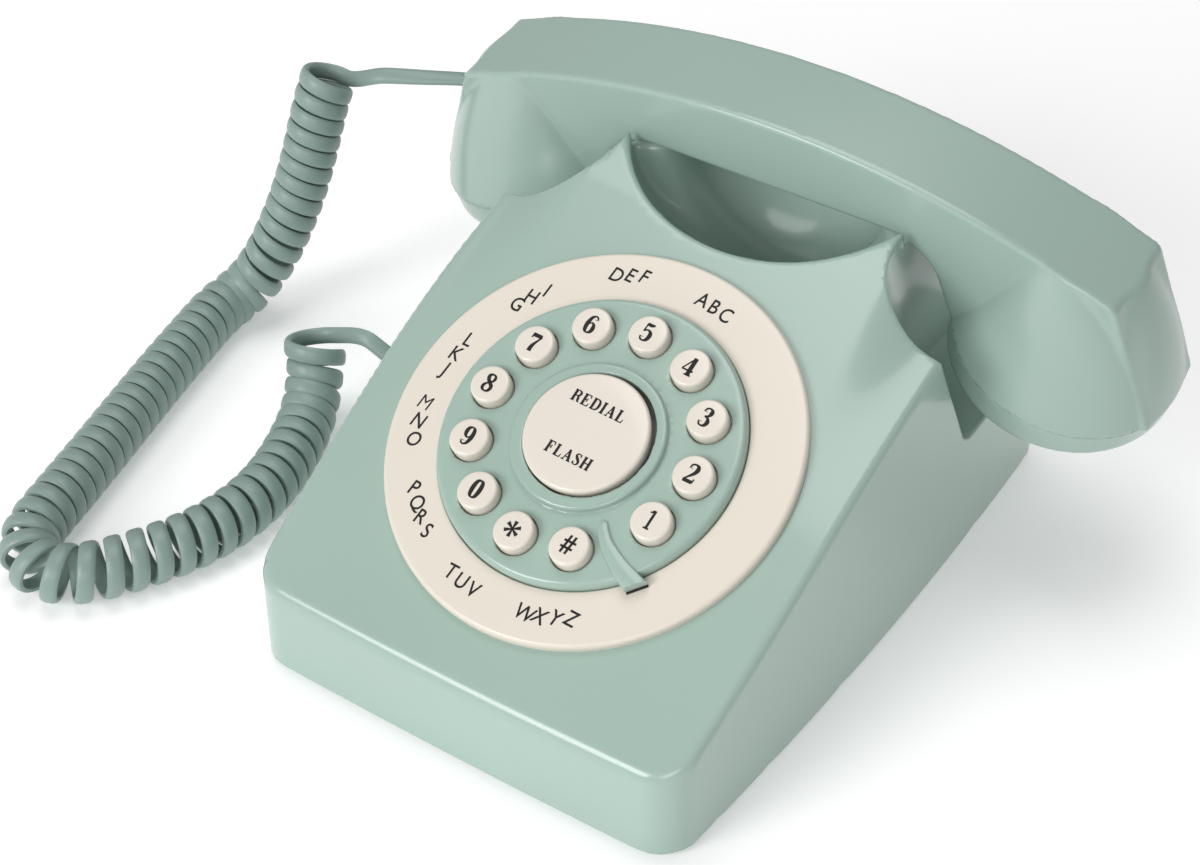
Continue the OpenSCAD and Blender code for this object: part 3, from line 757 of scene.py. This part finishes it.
def cup_notch(ax, y, z):
    """The scooped flank beside the cradle, which a cup hangs in."""
    dx, dy, dz = ax - NOTCH_CENTRE[0], y - NOTCH_CENTRE[1], z - NOTCH_CENTRE[2]
    up_panel = dy * math.cos(SLOPE) + dz * math.sin(SLOPE)
    flank = np.where(up_panel < 0, np.hypot(dx, up_panel), -dx) - NOTCH_RADIUS
    return fillet_max(flank, SHELF_HEIGHT - z, 3)


def finger_hollow(x, y, z):
    front = fillet_max(ellipsoid(x, y, z, *HOLLOW_FRONT), y - HOLLOW_STOP, 2)
    return fillet_min(front, ellipsoid(x, y, z, *HOLLOW_MIDDLE), 14)


def outer_body(x, y, z):
    ax = np.abs(x)
    side = ax - (67.2 + 0.0806 * y - 0.000342 * y * y) + (0.0037 + 0.000165 * y) * z
    front = -y - FRONT_BOW * (1 - (x / 60) ** 2)
    walls = fillet_max(fillet_max(side, front, CORNER_RADIUS), y - BODY_DEPTH, CORNER_RADIUS)
    share = np.clip((ax - 46) / 20, 0, 1)
    fall = 0.0019 * np.maximum(y - 60, 0) ** 2 * share * share * (3 - 2 * share)
    panel = (z - FRONT_HEIGHT - y * math.tan(SLOPE) + np.minimum(fall, 9)) * math.cos(SLOPE)
    brow = (z - BROW_START[1] - BROW_SLOPE * (y - BROW_START[0])) * 0.98
    back = (z - BACK_START[1] + BACK_SLOPE * (y - BACK_START[0])) * 0.66
    top = fillet_max(fillet_max(panel, brow, 3), back, 8)
    body = fillet_max(walls, top, RIDGE_FILLET)
    body = fillet_max(body, -handset_channel(y, z), 1)
    body = fillet_max(body, -finger_hollow(x, y, z), 2.6)
    return fillet_max(body, -cup_notch(ax, y, z), 1.0)


def housing_field(x, y, z):
    body = outer_body(x, y, z)
    shell = np.maximum(body, -(body + WALL))
    ax = np.abs(x)
    posts = np.minimum(*(np.hypot(ax - SCREW_X, y - at) for at in SCREW_Y)) - SCREW_POST
    shell = np.minimum(shell, np.maximum(posts, np.abs(z - 12.5) - 9.5))
    shell = fillet_max(shell, -z, 0.5)
    up = (y - DIAL_Y) * math.cos(SLOPE) + (z - PANEL_Z) * math.sin(SLOPE)
    above = (z - PANEL_Z) * math.cos(SLOPE) - (y - DIAL_Y) * math.sin(SLOPE)
    openings = [np.maximum(np.hypot(x, up) - BEZEL_RADIUS + 2, np.abs(above) - 9),
                box_field(ax, y, z, *HOOK_SLOT),
                box_field(x, y, z, *((c[0], wall_y, c[1]) for c, wall_y in zip(LINE_SOCKET, (198, 210)))),
                box_field(x, y, z, *((c[0], wall_y, c[1]) for c, wall_y in zip(RINGER_SLOT, (198, 210)))),
                box_field(x, y, z, *((wall_x, *c) for c, wall_x in zip(CORD_SOCKET, (-80, -62))))]
    for opening in openings:
        shell = np.maximum(shell, -opening)
    return shell


def make_housing():
    piece = moulded("housing_moulding", housing_field, (-73, -1, 0), (73, 205, 108), 1.4, body_frame())
    return dress(piece, "base", "body_green", ["housing"])


# ---------------------------------------------------------------- handset
def seam_height(ax, z):
    """Height above the plane of the nearer cup's seam."""
    return (ax - CUP_X) * math.sin(CUP_TILT) + z * math.cos(CUP_TILT)


def outer_handset(x, y, z):
    ax = np.abs(x)
    crest = np.hypot(x, z - CREST_TOP + CREST_RADIUS) - CREST_RADIUS
    seam = seam_height(ax, z)
    end = 0.954 * (ax - CREST_HALF) + 0.302 * (z - CREST_END)
    hollow = fillet_max(z - GRIP_UNDERSIDE, (ax - 53.5 + 0.32 * (z - 16)) * 0.95, 11)
    slab = fillet_max(np.abs(y) - GRIP_HALF, end, 1.6)
    slab = fillet_max(slab, -hollow, 2.2)
    rise = seam / np.maximum(seam + CUP_TOP - z, 1)
    tilted = (ax - CUP_X) * math.cos(CUP_TILT) - z * math.sin(CUP_TILT)
    across = (1 - rise) * tilted + rise * (ax - CUP_X)
    radius = CUP_RADIUS + (GRIP_HALF - CUP_RADIUS) * rise
    cup = (np.hypot(across, y) - radius) * 0.9
    return fillet_max(fillet_min(slab, cup, 0.8), crest, 1.2)


def handset_field(x, y, z):
    ax = np.abs(x)
    body = outer_handset(x, y, z)
    shell = np.maximum(body, -(body + SHELL_WALL))
    shell = fillet_max(shell, -seam_height(ax, z), 0.5)
    grip_opening = box_field(x, y, z, (-42, -11, GRIP_UNDERSIDE - 4), (42, 11, GRIP_UNDERSIDE + 3))
    plug_window = box_field(x, y, z, (-120, -4.4, 9.2), (-105.4, 4.4, 18))
    return np.maximum(np.maximum(shell, -grip_opening), -plug_window)


def make_handset():
    piece = moulded("handset_moulding", handset_field, (-119, -34, -9), (119, 34, 55), 1.0, handset_frame())
    return dress(piece, "handset", "body_green", ["handset_shell"])


# ---------------------------------------------------------------- dial
def make_ring():
    inner, outer = BEZEL_RADIUS + 0.2, RING_RADIUS
    edge = 1.3
    profile = ([(inner, 0), (outer, 0)] + arc(outer - edge, RING_HEIGHT - edge, edge, 0, 90, 10)
               + [(outer - 4, RING_HEIGHT), (inner + 0.3, RING_HEIGHT), (inner, RING_HEIGHT - 0.3)])
    piece = lathe("dial_ring_face", profile, panel_frame(), 192)
    return dress(piece, "base", "cream_plastic", ["dial_ring"])


HOLE_SHIFT = 0.35


def plate_field(x, y, z):
    """The green plate: a rounded disc with a collar, wells for the keys and a hole for the centre disc."""
    far = np.hypot(x, y)
    disc = fillet_max(far - BEZEL_RADIUS, z - BEZEL_HEIGHT, 1.7)
    collar = fillet_max(far - 21.4, z - 7, 0.9)
    plate = fillet_min(disc, collar, 0.5)
    for index in range(len(KEYS)):
        a = key_angle(index)
        well = np.hypot(x - KEY_CIRCLE * math.cos(a), y - KEY_CIRCLE * math.sin(a)) - KEY_RADIUS - 0.35
        plate = fillet_max(plate, -well, 0.45)
    hole = np.hypot(x - HOLE_SHIFT, y - HOLE_SHIFT) - ROCKER_RADIUS - 0.75
    plate = fillet_max(plate, -hole, 0.5)
    under = fillet_max(3 - z, far - BEZEL_RADIUS + 3.2, 0.3)
    return np.maximum(plate, np.maximum(-z, 3 - z - 40 * (far > BEZEL_RADIUS - 3.2)))


def make_plate():
    low, high = (-43, -43, 0), (43, 43, 7.5)
    piece = moulded("key_plate", plate_field, low, high, 0.7, panel_frame())
    return dress(piece, "base", "body_green", ["key_bezel"])


def make_finger_stop():
    """The raised finger stop: a low curved wedge between the first and last keys, its end over the ring,
    with a black bar of painted shadow under that end.
    """
    middle = smooth_line([(15.5, -18.5, 0), (18.0, -22.1, 0), (21.2, -25.1, 0), (27.0, -28.6, 0),
                          (32.6, -30.8, 0)], 0.5)
    way = tangents(middle)
    across = np.stack([-way[:, 1], way[:, 0], 0 * way[:, 0]], 1)
    t = np.linspace(0, 1, len(middle))
    rim = np.array([0.69, 0.72, 0])
    share = np.clip((t[:, None] - 0.6) / 0.4, 0, 1)
    across = unit(across * (1 - share) + rim * share)
    half = np.interp(t, (0, 0.03, 0.08, 0.3, 0.6, 1), (0.5, 1.0, 1.4, 1.7, 2.2, 3.1))
    top = np.interp(t, (0, 0.05, 0.15, 1), (5.1, 5.7, 6.05, 5.9))
    bottom = np.interp(t, (0, 0.7, 1), (4.4, 4.4, 3.1))
    section = [(-1, 0), (-1, 0.62), (-0.93, 0.9), (-0.8, 1), (0, 1.04),
               (0.8, 1), (0.93, 0.9), (1, 0.62), (1, 0)]
    rows = len(section)
    up = np.array([0, 0, 1])
    vertices = [middle[i] + across[i] * (half[i] * s) + up * (bottom[i] + (top[i] - bottom[i]) * h)
                for i in range(len(middle)) for s, h in section]
    faces = [(i * rows + k, (i + 1) * rows + k, (i + 1) * rows + (k + 1) % rows, i * rows + (k + 1) % rows)
             for i in range(len(middle) - 1) for k in range(rows)]
    faces += [tuple(range(rows)), tuple((len(middle) - 1) * rows + k for k in range(rows))]
    piece = add_object("finger_stop", vertices, faces, panel_frame())
    weld(piece)
    dress(piece, "base", "body_green")
    # Painted shadow: a black bar under the stop's overhanging end stands for the dark gap between the stop
    # and the ring
    edge = middle[-1] + np.array([0.72, -0.69, 0]) * 0.1
    make_bar("finger_stop_shadow_gap", edge - rim * 3.0, edge + rim * 3.0, 0.3, RING_HEIGHT, 3.15)


def make_bar(name, start, stop, half, low, high):
    """A thin upright black bar on the panel between two points: painted shadow."""
    way = unit(stop - start)
    side = np.array([-way[1], way[0], 0]) * half
    corners = [start - side, stop - side, stop + side, start + side]
    vertices = [np.array([c[0], c[1], h]) for h in (low, high) for c in corners]
    faces = [(3, 2, 1, 0), (4, 5, 6, 7), (0, 1, 5, 4), (1, 2, 6, 5), (2, 3, 7, 6), (3, 0, 4, 7)]
    blackened(add_object(name, vertices, faces, panel_frame(), smooth=False), "base")


def make_key(index):
    name = KEYS[index]
    profile = ([(0, 1.5), (4.6, 1.5), (4.6, 1.8), (6.5, 1.8), (6.5, 2.9), (KEY_RADIUS - 0.05, 2.9)]
               + arc(KEY_RADIUS - 0.95, KEY_TOP - 0.9, 0.9, 0, 90, 7)
               + [(KEY_RADIUS - 2.5, KEY_TOP + 0.03), (0, KEY_TOP + 0.05)])
    piece = lathe("key_cap_" + name, profile, key_frame(index), 64)
    dress(piece, "key_" + name, "key_cream", ["key_" + name])
    mark = lettering("key_print_" + name, GLYPHS[name], DIGIT_HEIGHT)
    finish_print(mark, key_frame(index), (-0.15, 0.1, KEY_TOP + 0.05), "key_" + name)


def make_rocker():
    profile = ([(0, 4.6), (ROCKER_RADIUS - 0.4, 4.6)]
               + arc(ROCKER_RADIUS - 1, ROCKER_TOP - 0.9, 1, 0, 84, 8)
               + [(ROCKER_RADIUS - 6, ROCKER_TOP + 0.1), (0, ROCKER_TOP + 0.14)])
    dress(lathe("centre_disc", profile, panel_frame(), 128), "rocker", "key_cream", ["redial_flash_rocker"])
    for word, height in (("REDIAL", 7.9), ("FLASH", -7.7)):
        mark = lettering("disc_print_" + word.lower(), spelled(word), WORD_HEIGHT)
        finish_print(mark, panel_frame(), (-0.6, height, ROCKER_TOP + 0.13), "rocker")


# ---------------------------------------------------------------- lettering
# Strokes of (across, up, thickness) in hundredths of the letter's height. Two points make a straight bar.
THICK, THIN = 20, 5.5
DIGIT_HEIGHT = 5.5
EXTRA_WEIGHT = 2.5
STROKE_STEP = 3
WORD_HEIGHT = 3.35


def serif(middle, up, half=16):
    return [(middle - half, up, THIN), (middle + half, up, THIN)]


def stem(across, top=100):
    return [(across, 0, THICK), (across, top, THICK)]


def rule(left, right, up, thickness=6):
    return [(left, up, thickness), (right, up, thickness)]


def ball(across, up, size=19):
    return [(across, up - 1, size), (across, up + 1, size)]


GLYPHS = {
    "1": [[(27, 0, 11), (27, 98, 11)], serif(27, 3, 15), [(6, 82, 5), (14, 86, 6), (22, 96, 9)]],
    "2": [ball(13, 73), [(7, 74, 5), (12, 91, 7), (28, 97, 6), (44, 90, 15), (48, 73, 20), (40, 52, 15),
          (22, 30, 8), (5, 8, 5)], rule(4, 52, 8.5, 16), [(53, 4, 6), (57, 28, 4)]],
    "3": [ball(13, 76), [(6, 77, 5), (13, 92, 7), (28, 97, 6), (42, 89, 15), (44, 74, 19), (37, 59, 10),
          (20, 53, 5)], [(20, 53, 5), (39, 47, 10), (48, 28, 20), (42, 10, 14), (26, 3, 6), (12, 8, 7),
          (5, 22, 5)], ball(12, 23)],
    "4": [stem(42, 98), [(40, 98, 5), (2, 28, 5)], rule(0, 62, 27), serif(42, 3, 18)],
    "5": [[(10, 92, 13), (30, 90, 15), (48, 95, 8)], [(10, 96, 5), (8, 50, 5)], [(8, 51, 5), (17, 59, 6),
          (30, 62, 7), (45, 52, 16), (49, 33, 20), (43, 12, 15), (27, 3, 6), (12, 8, 7), (5, 20, 5)],
          ball(12, 22)],
    "6": [ball(43, 80, 17), [(50, 83, 5), (42, 94, 6), (30, 97, 6), (15, 84, 14), (8, 50, 20),
          (13, 14, 16), (28, 3, 6), (44, 12, 15), (48, 31, 19), (43, 50, 14), (30, 59, 6), (16, 50, 5)]],
    "7": [rule(6, 52, 89, 18), [(5, 98, 5), (3, 70, 5)], [(54, 90, 6), (38, 56, 10), (28, 28, 18),
          (27, 0, 21)]],
    "8": [[(28, 97, 6), (13, 90, 13), (10, 77, 17), (17, 63, 16), (31, 51, 16), (46, 38, 17), (49, 24, 16),
          (43, 9, 12), (28, 3, 6), (12, 9, 12), (7, 24, 15), (13, 39, 10), (30, 53, 6), (42, 64, 10),
          (45, 77, 13), (41, 90, 10), (28, 97, 6)]],
    "9": [ball(14, 20, 17), [(7, 17, 5), (15, 6, 6), (27, 3, 6), (42, 16, 14), (49, 50, 20), (44, 86, 16),
          (29, 97, 6), (13, 88, 15), (9, 69, 19), (14, 50, 14), (27, 41, 6), (41, 50, 5)]],
    "0": [[(29, 97, 6), (14, 86, 16), (9, 50, 21), (14, 14, 16), (29, 3, 6), (44, 14, 16), (49, 50, 21),
          (44, 86, 16), (29, 97, 6)]],
    "star": [[(30, 50, 3), (30 + 24 * math.cos(a), 50 + 24 * math.sin(a), 12),
          (30 + 42 * math.cos(a), 50 + 42 * math.sin(a), 17)] for a in np.radians(range(90, 450, 60))],
    "hash": [[(16, 2, 10), (26, 98, 10)], [(42, 2, 10), (52, 98, 10)], rule(0, 66, 33, 9),
          rule(3, 69, 66, 9)],
    "R": [stem(17), serif(17, 3, 17), rule(2, 42, 97), [(40, 97, 6), (57, 89, 14), (61, 74, 19),
          (56, 60, 14), (40, 51, 6)], rule(17, 42, 51), [(40, 50, 6), (55, 42, 15), (60, 20, 18),
          (66, 6, 10), (78, 6, 4)]],
    "E": [stem(17), rule(2, 62, 97), [(60, 98, 8), (64, 72, 3)], rule(17, 42, 51), [(43, 36, 5),
          (43, 66, 5)], rule(2, 65, 3), [(63, 2, 9), (69, 30, 3)]],
    "D": [stem(17), rule(2, 40, 97), [(36, 97, 6), (60, 86, 14), (69, 50, 20), (60, 14, 14), (36, 3, 6)],
          rule(2, 40, 3)],
    "I": [stem(18), serif(18, 3, 17), serif(18, 97, 17)],
    "A": [[(12, 2, 6), (38, 98, 6)], [(36, 98, 18), (64, 2, 20)], rule(20, 56, 32), serif(12, 3, 14),
          serif(65, 3, 17)],
    "L": [stem(17), serif(17, 97, 17), rule(2, 62, 3), [(60, 2, 9), (66, 32, 3)]],
    "F": [stem(17), serif(17, 3, 17), rule(2, 60, 97), [(58, 98, 8), (62, 70, 3)], rule(17, 42, 51),
          [(43, 36, 5), (43, 66, 5)]],
    "S": [[(49, 72, 4), (45, 88, 6), (29, 97, 6), (13, 90, 12), (12, 75, 17), (26, 58, 20), (42, 43, 20),
          (50, 27, 17), (45, 10, 12), (28, 3, 6), (13, 10, 6), (6, 28, 4)], [(50, 98, 4), (49, 72, 5)],
          [(5, 2, 4), (6, 28, 5)]],
    "H": [stem(17), stem(66), rule(17, 66, 51), serif(17, 3, 16), serif(17, 97, 16), serif(66, 3, 16),
          serif(66, 97, 16)],
}
ADVANCE = {"R": 80, "E": 76, "D": 82, "I": 40, "A": 84, "L": 72, "F": 70, "S": 62, "H": 86}
LETTER_GAP = 12


def spelled(word):
    """The strokes of a word, its letters one after the other."""
    strokes, across = [], 0.0
    for letter in word:
        strokes += [[(x + across, y, w) for x, y, w in stroke] for stroke in GLYPHS[letter]]
        across += ADVANCE[letter] + LETTER_GAP
    return strokes


def stroke_outline(stroke):
    """The two sides of a brush stroke of changing thickness."""
    line = np.array(stroke)
    if len(line) > 2:
        line = smooth_line(stroke, STROKE_STEP)
    way = unit(np.gradient(line[:, :2], axis=0))
    side = np.stack([-way[:, 1], way[:, 0]], 1) * (line[:, 2:] + EXTRA_WEIGHT) / 2
    return line[:, :2] + side, line[:, :2] - side


PRINT_DEPTH = 0.05


def lettering(name, strokes, height):
    """Printed strokes as thin raised plates, centred, in the frame's own units."""
    share = height / 100
    vertices, faces = [], []
    for stroke in strokes:
        left, right = stroke_outline(stroke)
        n, base = len(left), len(vertices)
        for level in (0, PRINT_DEPTH):
            vertices += [(x * share, y * share, level) for side in (left, right) for x, y in side]
        for i in range(n - 1):
            a, b, c, d = i, i + 1, n + i + 1, n + i
            faces += [tuple(base + k for k in (a, b, c, d)), tuple(base + 2 * n + k for k in (d, c, b, a))]
            faces += [(base + a, base + 2 * n + a, base + 2 * n + b, base + b),
                      (base + d, base + c, base + 2 * n + c, base + 2 * n + d)]
        for i, flip in ((0, 1), (n - 1, -1)):
            faces.append(tuple(base + k for k in (i, n + i, 3 * n + i, 2 * n + i)[::flip]))
    points = np.array(vertices)
    points[:, :2] -= (points[:, :2].min(0) + points[:, :2].max(0)) / 2
    return add_object(name, points, faces, smooth=False)


LETTER_TURN = math.radians(-2.4)


def finish_print(piece, place, offset, body):
    """Lays a print on its face, turned a little as the whole dial's lettering is."""
    piece.data.transform(place @ Matrix.Translation(offset) @ Matrix.Rotation(LETTER_TURN, 4, "Z"))
    face_outwards(piece)
    blackened(piece, body)


def blackened(piece, body):
    """Puts a print, or a painted shadow, on its body in black."""
    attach(piece, body)
    paint(piece, black_print_and_shade_paint)


def face_outwards(piece):
    work = bmesh.new()
    work.from_mesh(piece.data)
    bmesh.ops.recalc_face_normals(work, faces=work.faces)
    work.to_mesh(piece.data)
    work.free()


# Letters round the ring: the first letter's angle, the step to the next, and the circle they stand on
RING_LETTERS = (("ABC", 82.8, -4.8, 49.5), ("DEF", 112.9, -4.5, 50.6), ("GHI", 145.9, -5.2, 49.7),
                ("JKL", 176.8, -6.0, 49.5), ("MNO", 189.6, 6.4, 49.5), ("PQRS", 219.6, 5.3, 48.7),
                ("TUV", 252.1, 4.9, 49.5), ("WXYZ", 280.5, 4.9, 49.5))
RING_LETTER_HEIGHT = 4.4
FONT_CAP_SHARE = 0.729
FONT_WEIGHT = 0.012
LETTER_WIDTH = 0.87
ITALIC = 0.06
# Blender's M closes up when it is thickened, so it alone is thinned
M_WEIGHT = -0.5 * FONT_WEIGHT


def font_mesh(letter, name):
    """One letter of Blender's own font as a thin plate with its cap height 1."""
    data = bpy.data.curves.new(name, "FONT")
    data.body = letter
    data.size = 1 / FONT_CAP_SHARE
    data.resolution_u = 4
    data.align_x = "CENTER"
    data.offset = M_WEIGHT if letter == "M" else FONT_WEIGHT
    data.extrude = 0.5
    holder = bpy.data.objects.new(name, data)
    bpy.context.scene.collection.objects.link(holder)
    shown = holder.evaluated_get(bpy.context.evaluated_depsgraph_get())
    mesh = bpy.data.meshes.new_from_object(shown)
    bpy.data.objects.remove(holder)
    points = np.array([v.co for v in mesh.vertices])
    faces = [tuple(p.vertices) for p in mesh.polygons]
    bpy.data.meshes.remove(mesh)
    points[:, 0] -= (points[:, 0].min() + points[:, 0].max()) / 2
    points[:, 0] *= LETTER_WIDTH
    points[:, 1] -= 0.5
    points[:, 0] += ITALIC * points[:, 1]
    points[:, 2] = (points[:, 2] > 0) * PRINT_DEPTH
    return points, faces



def make_ring_letters():
    for word, first, step, circle in RING_LETTERS:
        vertices, faces = [], []
        for k, letter in enumerate(word):
            points, polygons = font_mesh(letter, "letter")
            a = math.radians(first + k * step)
            c, s = math.cos(LETTER_TURN), math.sin(LETTER_TURN)
            turned = points[:, :2] @ np.array([[c, s], [-s, c]]) * RING_LETTER_HEIGHT
            turned += circle * np.array([math.cos(a), math.sin(a)])
            faces += [tuple(len(vertices) + v for v in polygon) for polygon in polygons]
            vertices += [(x, y, RING_HEIGHT + z) for (x, y), z in zip(turned, points[:, 2])]
        piece = add_object("ring_print_" + word.lower(), vertices, faces, panel_frame(), smooth=False)
        weld(piece)
        blackened(piece, "base")


# ---------------------------------------------------------------- caps and socket frames
def cap_frame(side):
    """A cap's own frame: its axis down and outward, square to the cup's tilted seam."""
    return (handset_frame() @ Matrix.Translation((side * CUP_X, 0, 0))
            @ Matrix.Rotation(side * CUP_TILT, 4, "Y"))


CAP_DEPTH = 12.3
CAP_RADIUS = 32.7
CAP_HOLES = {-1: 6, 1: 4}


def make_cap(name, side):
    """A cup's screwed cap: a shallow bowl with a rolled edge and a ring of sound holes."""
    angles = [2 * math.pi * k / CAP_HOLES[side] for k in range(CAP_HOLES[side])]
    centres = [(0, 0)] + [(7 * math.cos(a), 7 * math.sin(a)) for a in angles]

    def field(x, y, z):
        far = np.hypot(x, y)
        bowl = fillet_max(far - CAP_RADIUS - 0.06 * z, -CAP_DEPTH - z, 6)
        bowl = np.maximum(bowl, -(bowl + 2.2))
        bowl = fillet_max(bowl, z + 0.35, 0.7)
        for cx, cy in centres:
            hole = np.maximum(np.hypot(x - cx, y - cy) - 1.2, z + CAP_DEPTH / 2)
            bowl = fillet_max(bowl, -hole, 0.3)
        return bowl

    low, high = (-33.2, -33.2, -CAP_DEPTH), (33.2, 33.2, 0)
    piece = moulded(name + "_bowl", field, low, high, 0.9, cap_frame(side))
    return dress(piece, "handset", "body_green", [name])


SIDE_WALL_X = -71.9
FRAME_DEPTH = 2.4
FRAME_REACH = 0.35


def make_socket_frame(name, low, high, rim, outward):
    """A thin moulded frame round an opening in a flat wall, which trims the opening's edge."""
    axis = 0 if outward[0] else 1
    side = math.copysign(1, outward[axis])
    half, tall = (high[0] - low[0]) / 2, (high[1] - low[1]) / 2
    middle, centre = (low[0] + high[0]) / 2, (low[1] + high[1]) / 2

    def field(x, y, z):
        flat, deep = (y, x) if axis == 0 else (x, y)
        outer = fillet_max(np.abs(flat - middle) - half - rim, np.abs(z - centre) - tall - rim, 1.0)
        inner = fillet_max(np.abs(flat - middle) - half, np.abs(z - centre) - tall, 0.4)
        depth = np.abs(deep - outward[axis] + side * FRAME_DEPTH / 2) - FRAME_DEPTH / 2 - FRAME_REACH
        return fillet_max(fillet_max(outer, -inner, 0.3), depth, 0.3)

    span = [0.0, 0.0, 0.0], [0.0, 0.0, 0.0]
    for corner, place, sign in ((low, span[0], -1), (high, span[1], 1)):
        place[1 - axis] = corner[0] + sign * rim
        place[2] = corner[1] + sign * rim
    inward = outward[axis] - side * (FRAME_DEPTH + FRAME_REACH)
    outermost = outward[axis] + side * FRAME_REACH
    span[0][axis], span[1][axis] = min(inward, outermost), max(inward, outermost)
    piece = moulded(name, field, span[0], span[1], 0.5, body_frame())
    return dress(piece, "base", "body_green")


def make_socket_frames():
    make_socket_frame("cord_socket_frame", *CORD_SOCKET, 1.0, (SIDE_WALL_X, 0))
    make_socket_frame("line_socket_frame", *LINE_SOCKET, 1.0, (0, BODY_DEPTH))
    make_socket_frame("ringer_slot_frame", *RINGER_SLOT, 0.9, (0, BODY_DEPTH))


EDGE_ROUNDING = 0.0003
ROUNDED_NODES = ("feet", "base_plate", "grip_cover", "ringer_knob", "hook_bar")


def round_edges():
    """The CAD nodes that stay are given slightly rounded edges, where they can be seen."""
    for name in ROUNDED_NODES:
        node = frame["nodes"][name]
        edge = node.modifiers.new("edge", "BEVEL")
        edge.width = EDGE_ROUNDING
        edge.segments = 2
        edge.limit_method = "ANGLE"
        edge.harden_normals = True



# ---------------------------------------------------------------- room
def make_floor():
    size = 6.0
    vertices = [(-size, -size, 0), (size, -size, 0), (size, size, 0), (-size, size, 0)]
    floor = add_object("studio_floor", vertices, [(0, 1, 2, 3)], smooth=False)
    paint(floor, floor_paint())


LIGHTS = (("key_light", (-0.7, -1.8, 0.95), 1.0, 21.0), ("fill_light", (0.8, -1.7, 1.0), 1.0, 9.0),
          ("top_light", (-0.3, 0.3, 1.7), 1.2, 10.0))
AIM = (0.0, 0.0, 0.06)
WORLD_BRIGHTNESS = 0.32


def make_lights():
    for name, place, size, power in LIGHTS:
        data = bpy.data.lights.new(name, "AREA")
        data.shape = "DISK"
        data.size = size
        data.energy = power
        lamp = bpy.data.objects.new(name, data)
        bpy.context.scene.collection.objects.link(lamp)
        way = Vector(AIM) - Vector(place)
        lamp.matrix_world = Matrix.Translation(place) @ way.to_track_quat("-Z", "Y").to_matrix().to_4x4()
    world = bpy.data.worlds.new("world")
    world.use_nodes = True
    sky = world.node_tree.nodes["Background"]
    sky.inputs["Color"].default_value = (1, 1, 1, 1)
    sky.inputs["Strength"].default_value = WORLD_BRIGHTNESS
    bpy.context.scene.world = world
    bpy.context.scene.view_settings.view_transform = "Standard"


def paint_cad_nodes():
    for part in frame["record"]["subparts"]:
        paint(frame["nodes"][part["node"]], materials[part["material_slot"]])


# ---------------------------------------------------------------- making
make_camera()
cord_piece = make_cord()
materials = make_materials()
black_print_and_shade_paint = black_print_and_shade()
paint(cord_piece, materials["cord_green"])
paint_cad_nodes()
make_housing()
make_handset()
make_cap("ear_cap", -1)
make_cap("mouth_cap", 1)
make_ring()
make_plate()
make_finger_stop()
for key_number in range(len(KEYS)):
    make_key(key_number)
make_rocker()
make_ring_letters()
make_socket_frames()
round_edges()
make_floor()
make_lights()
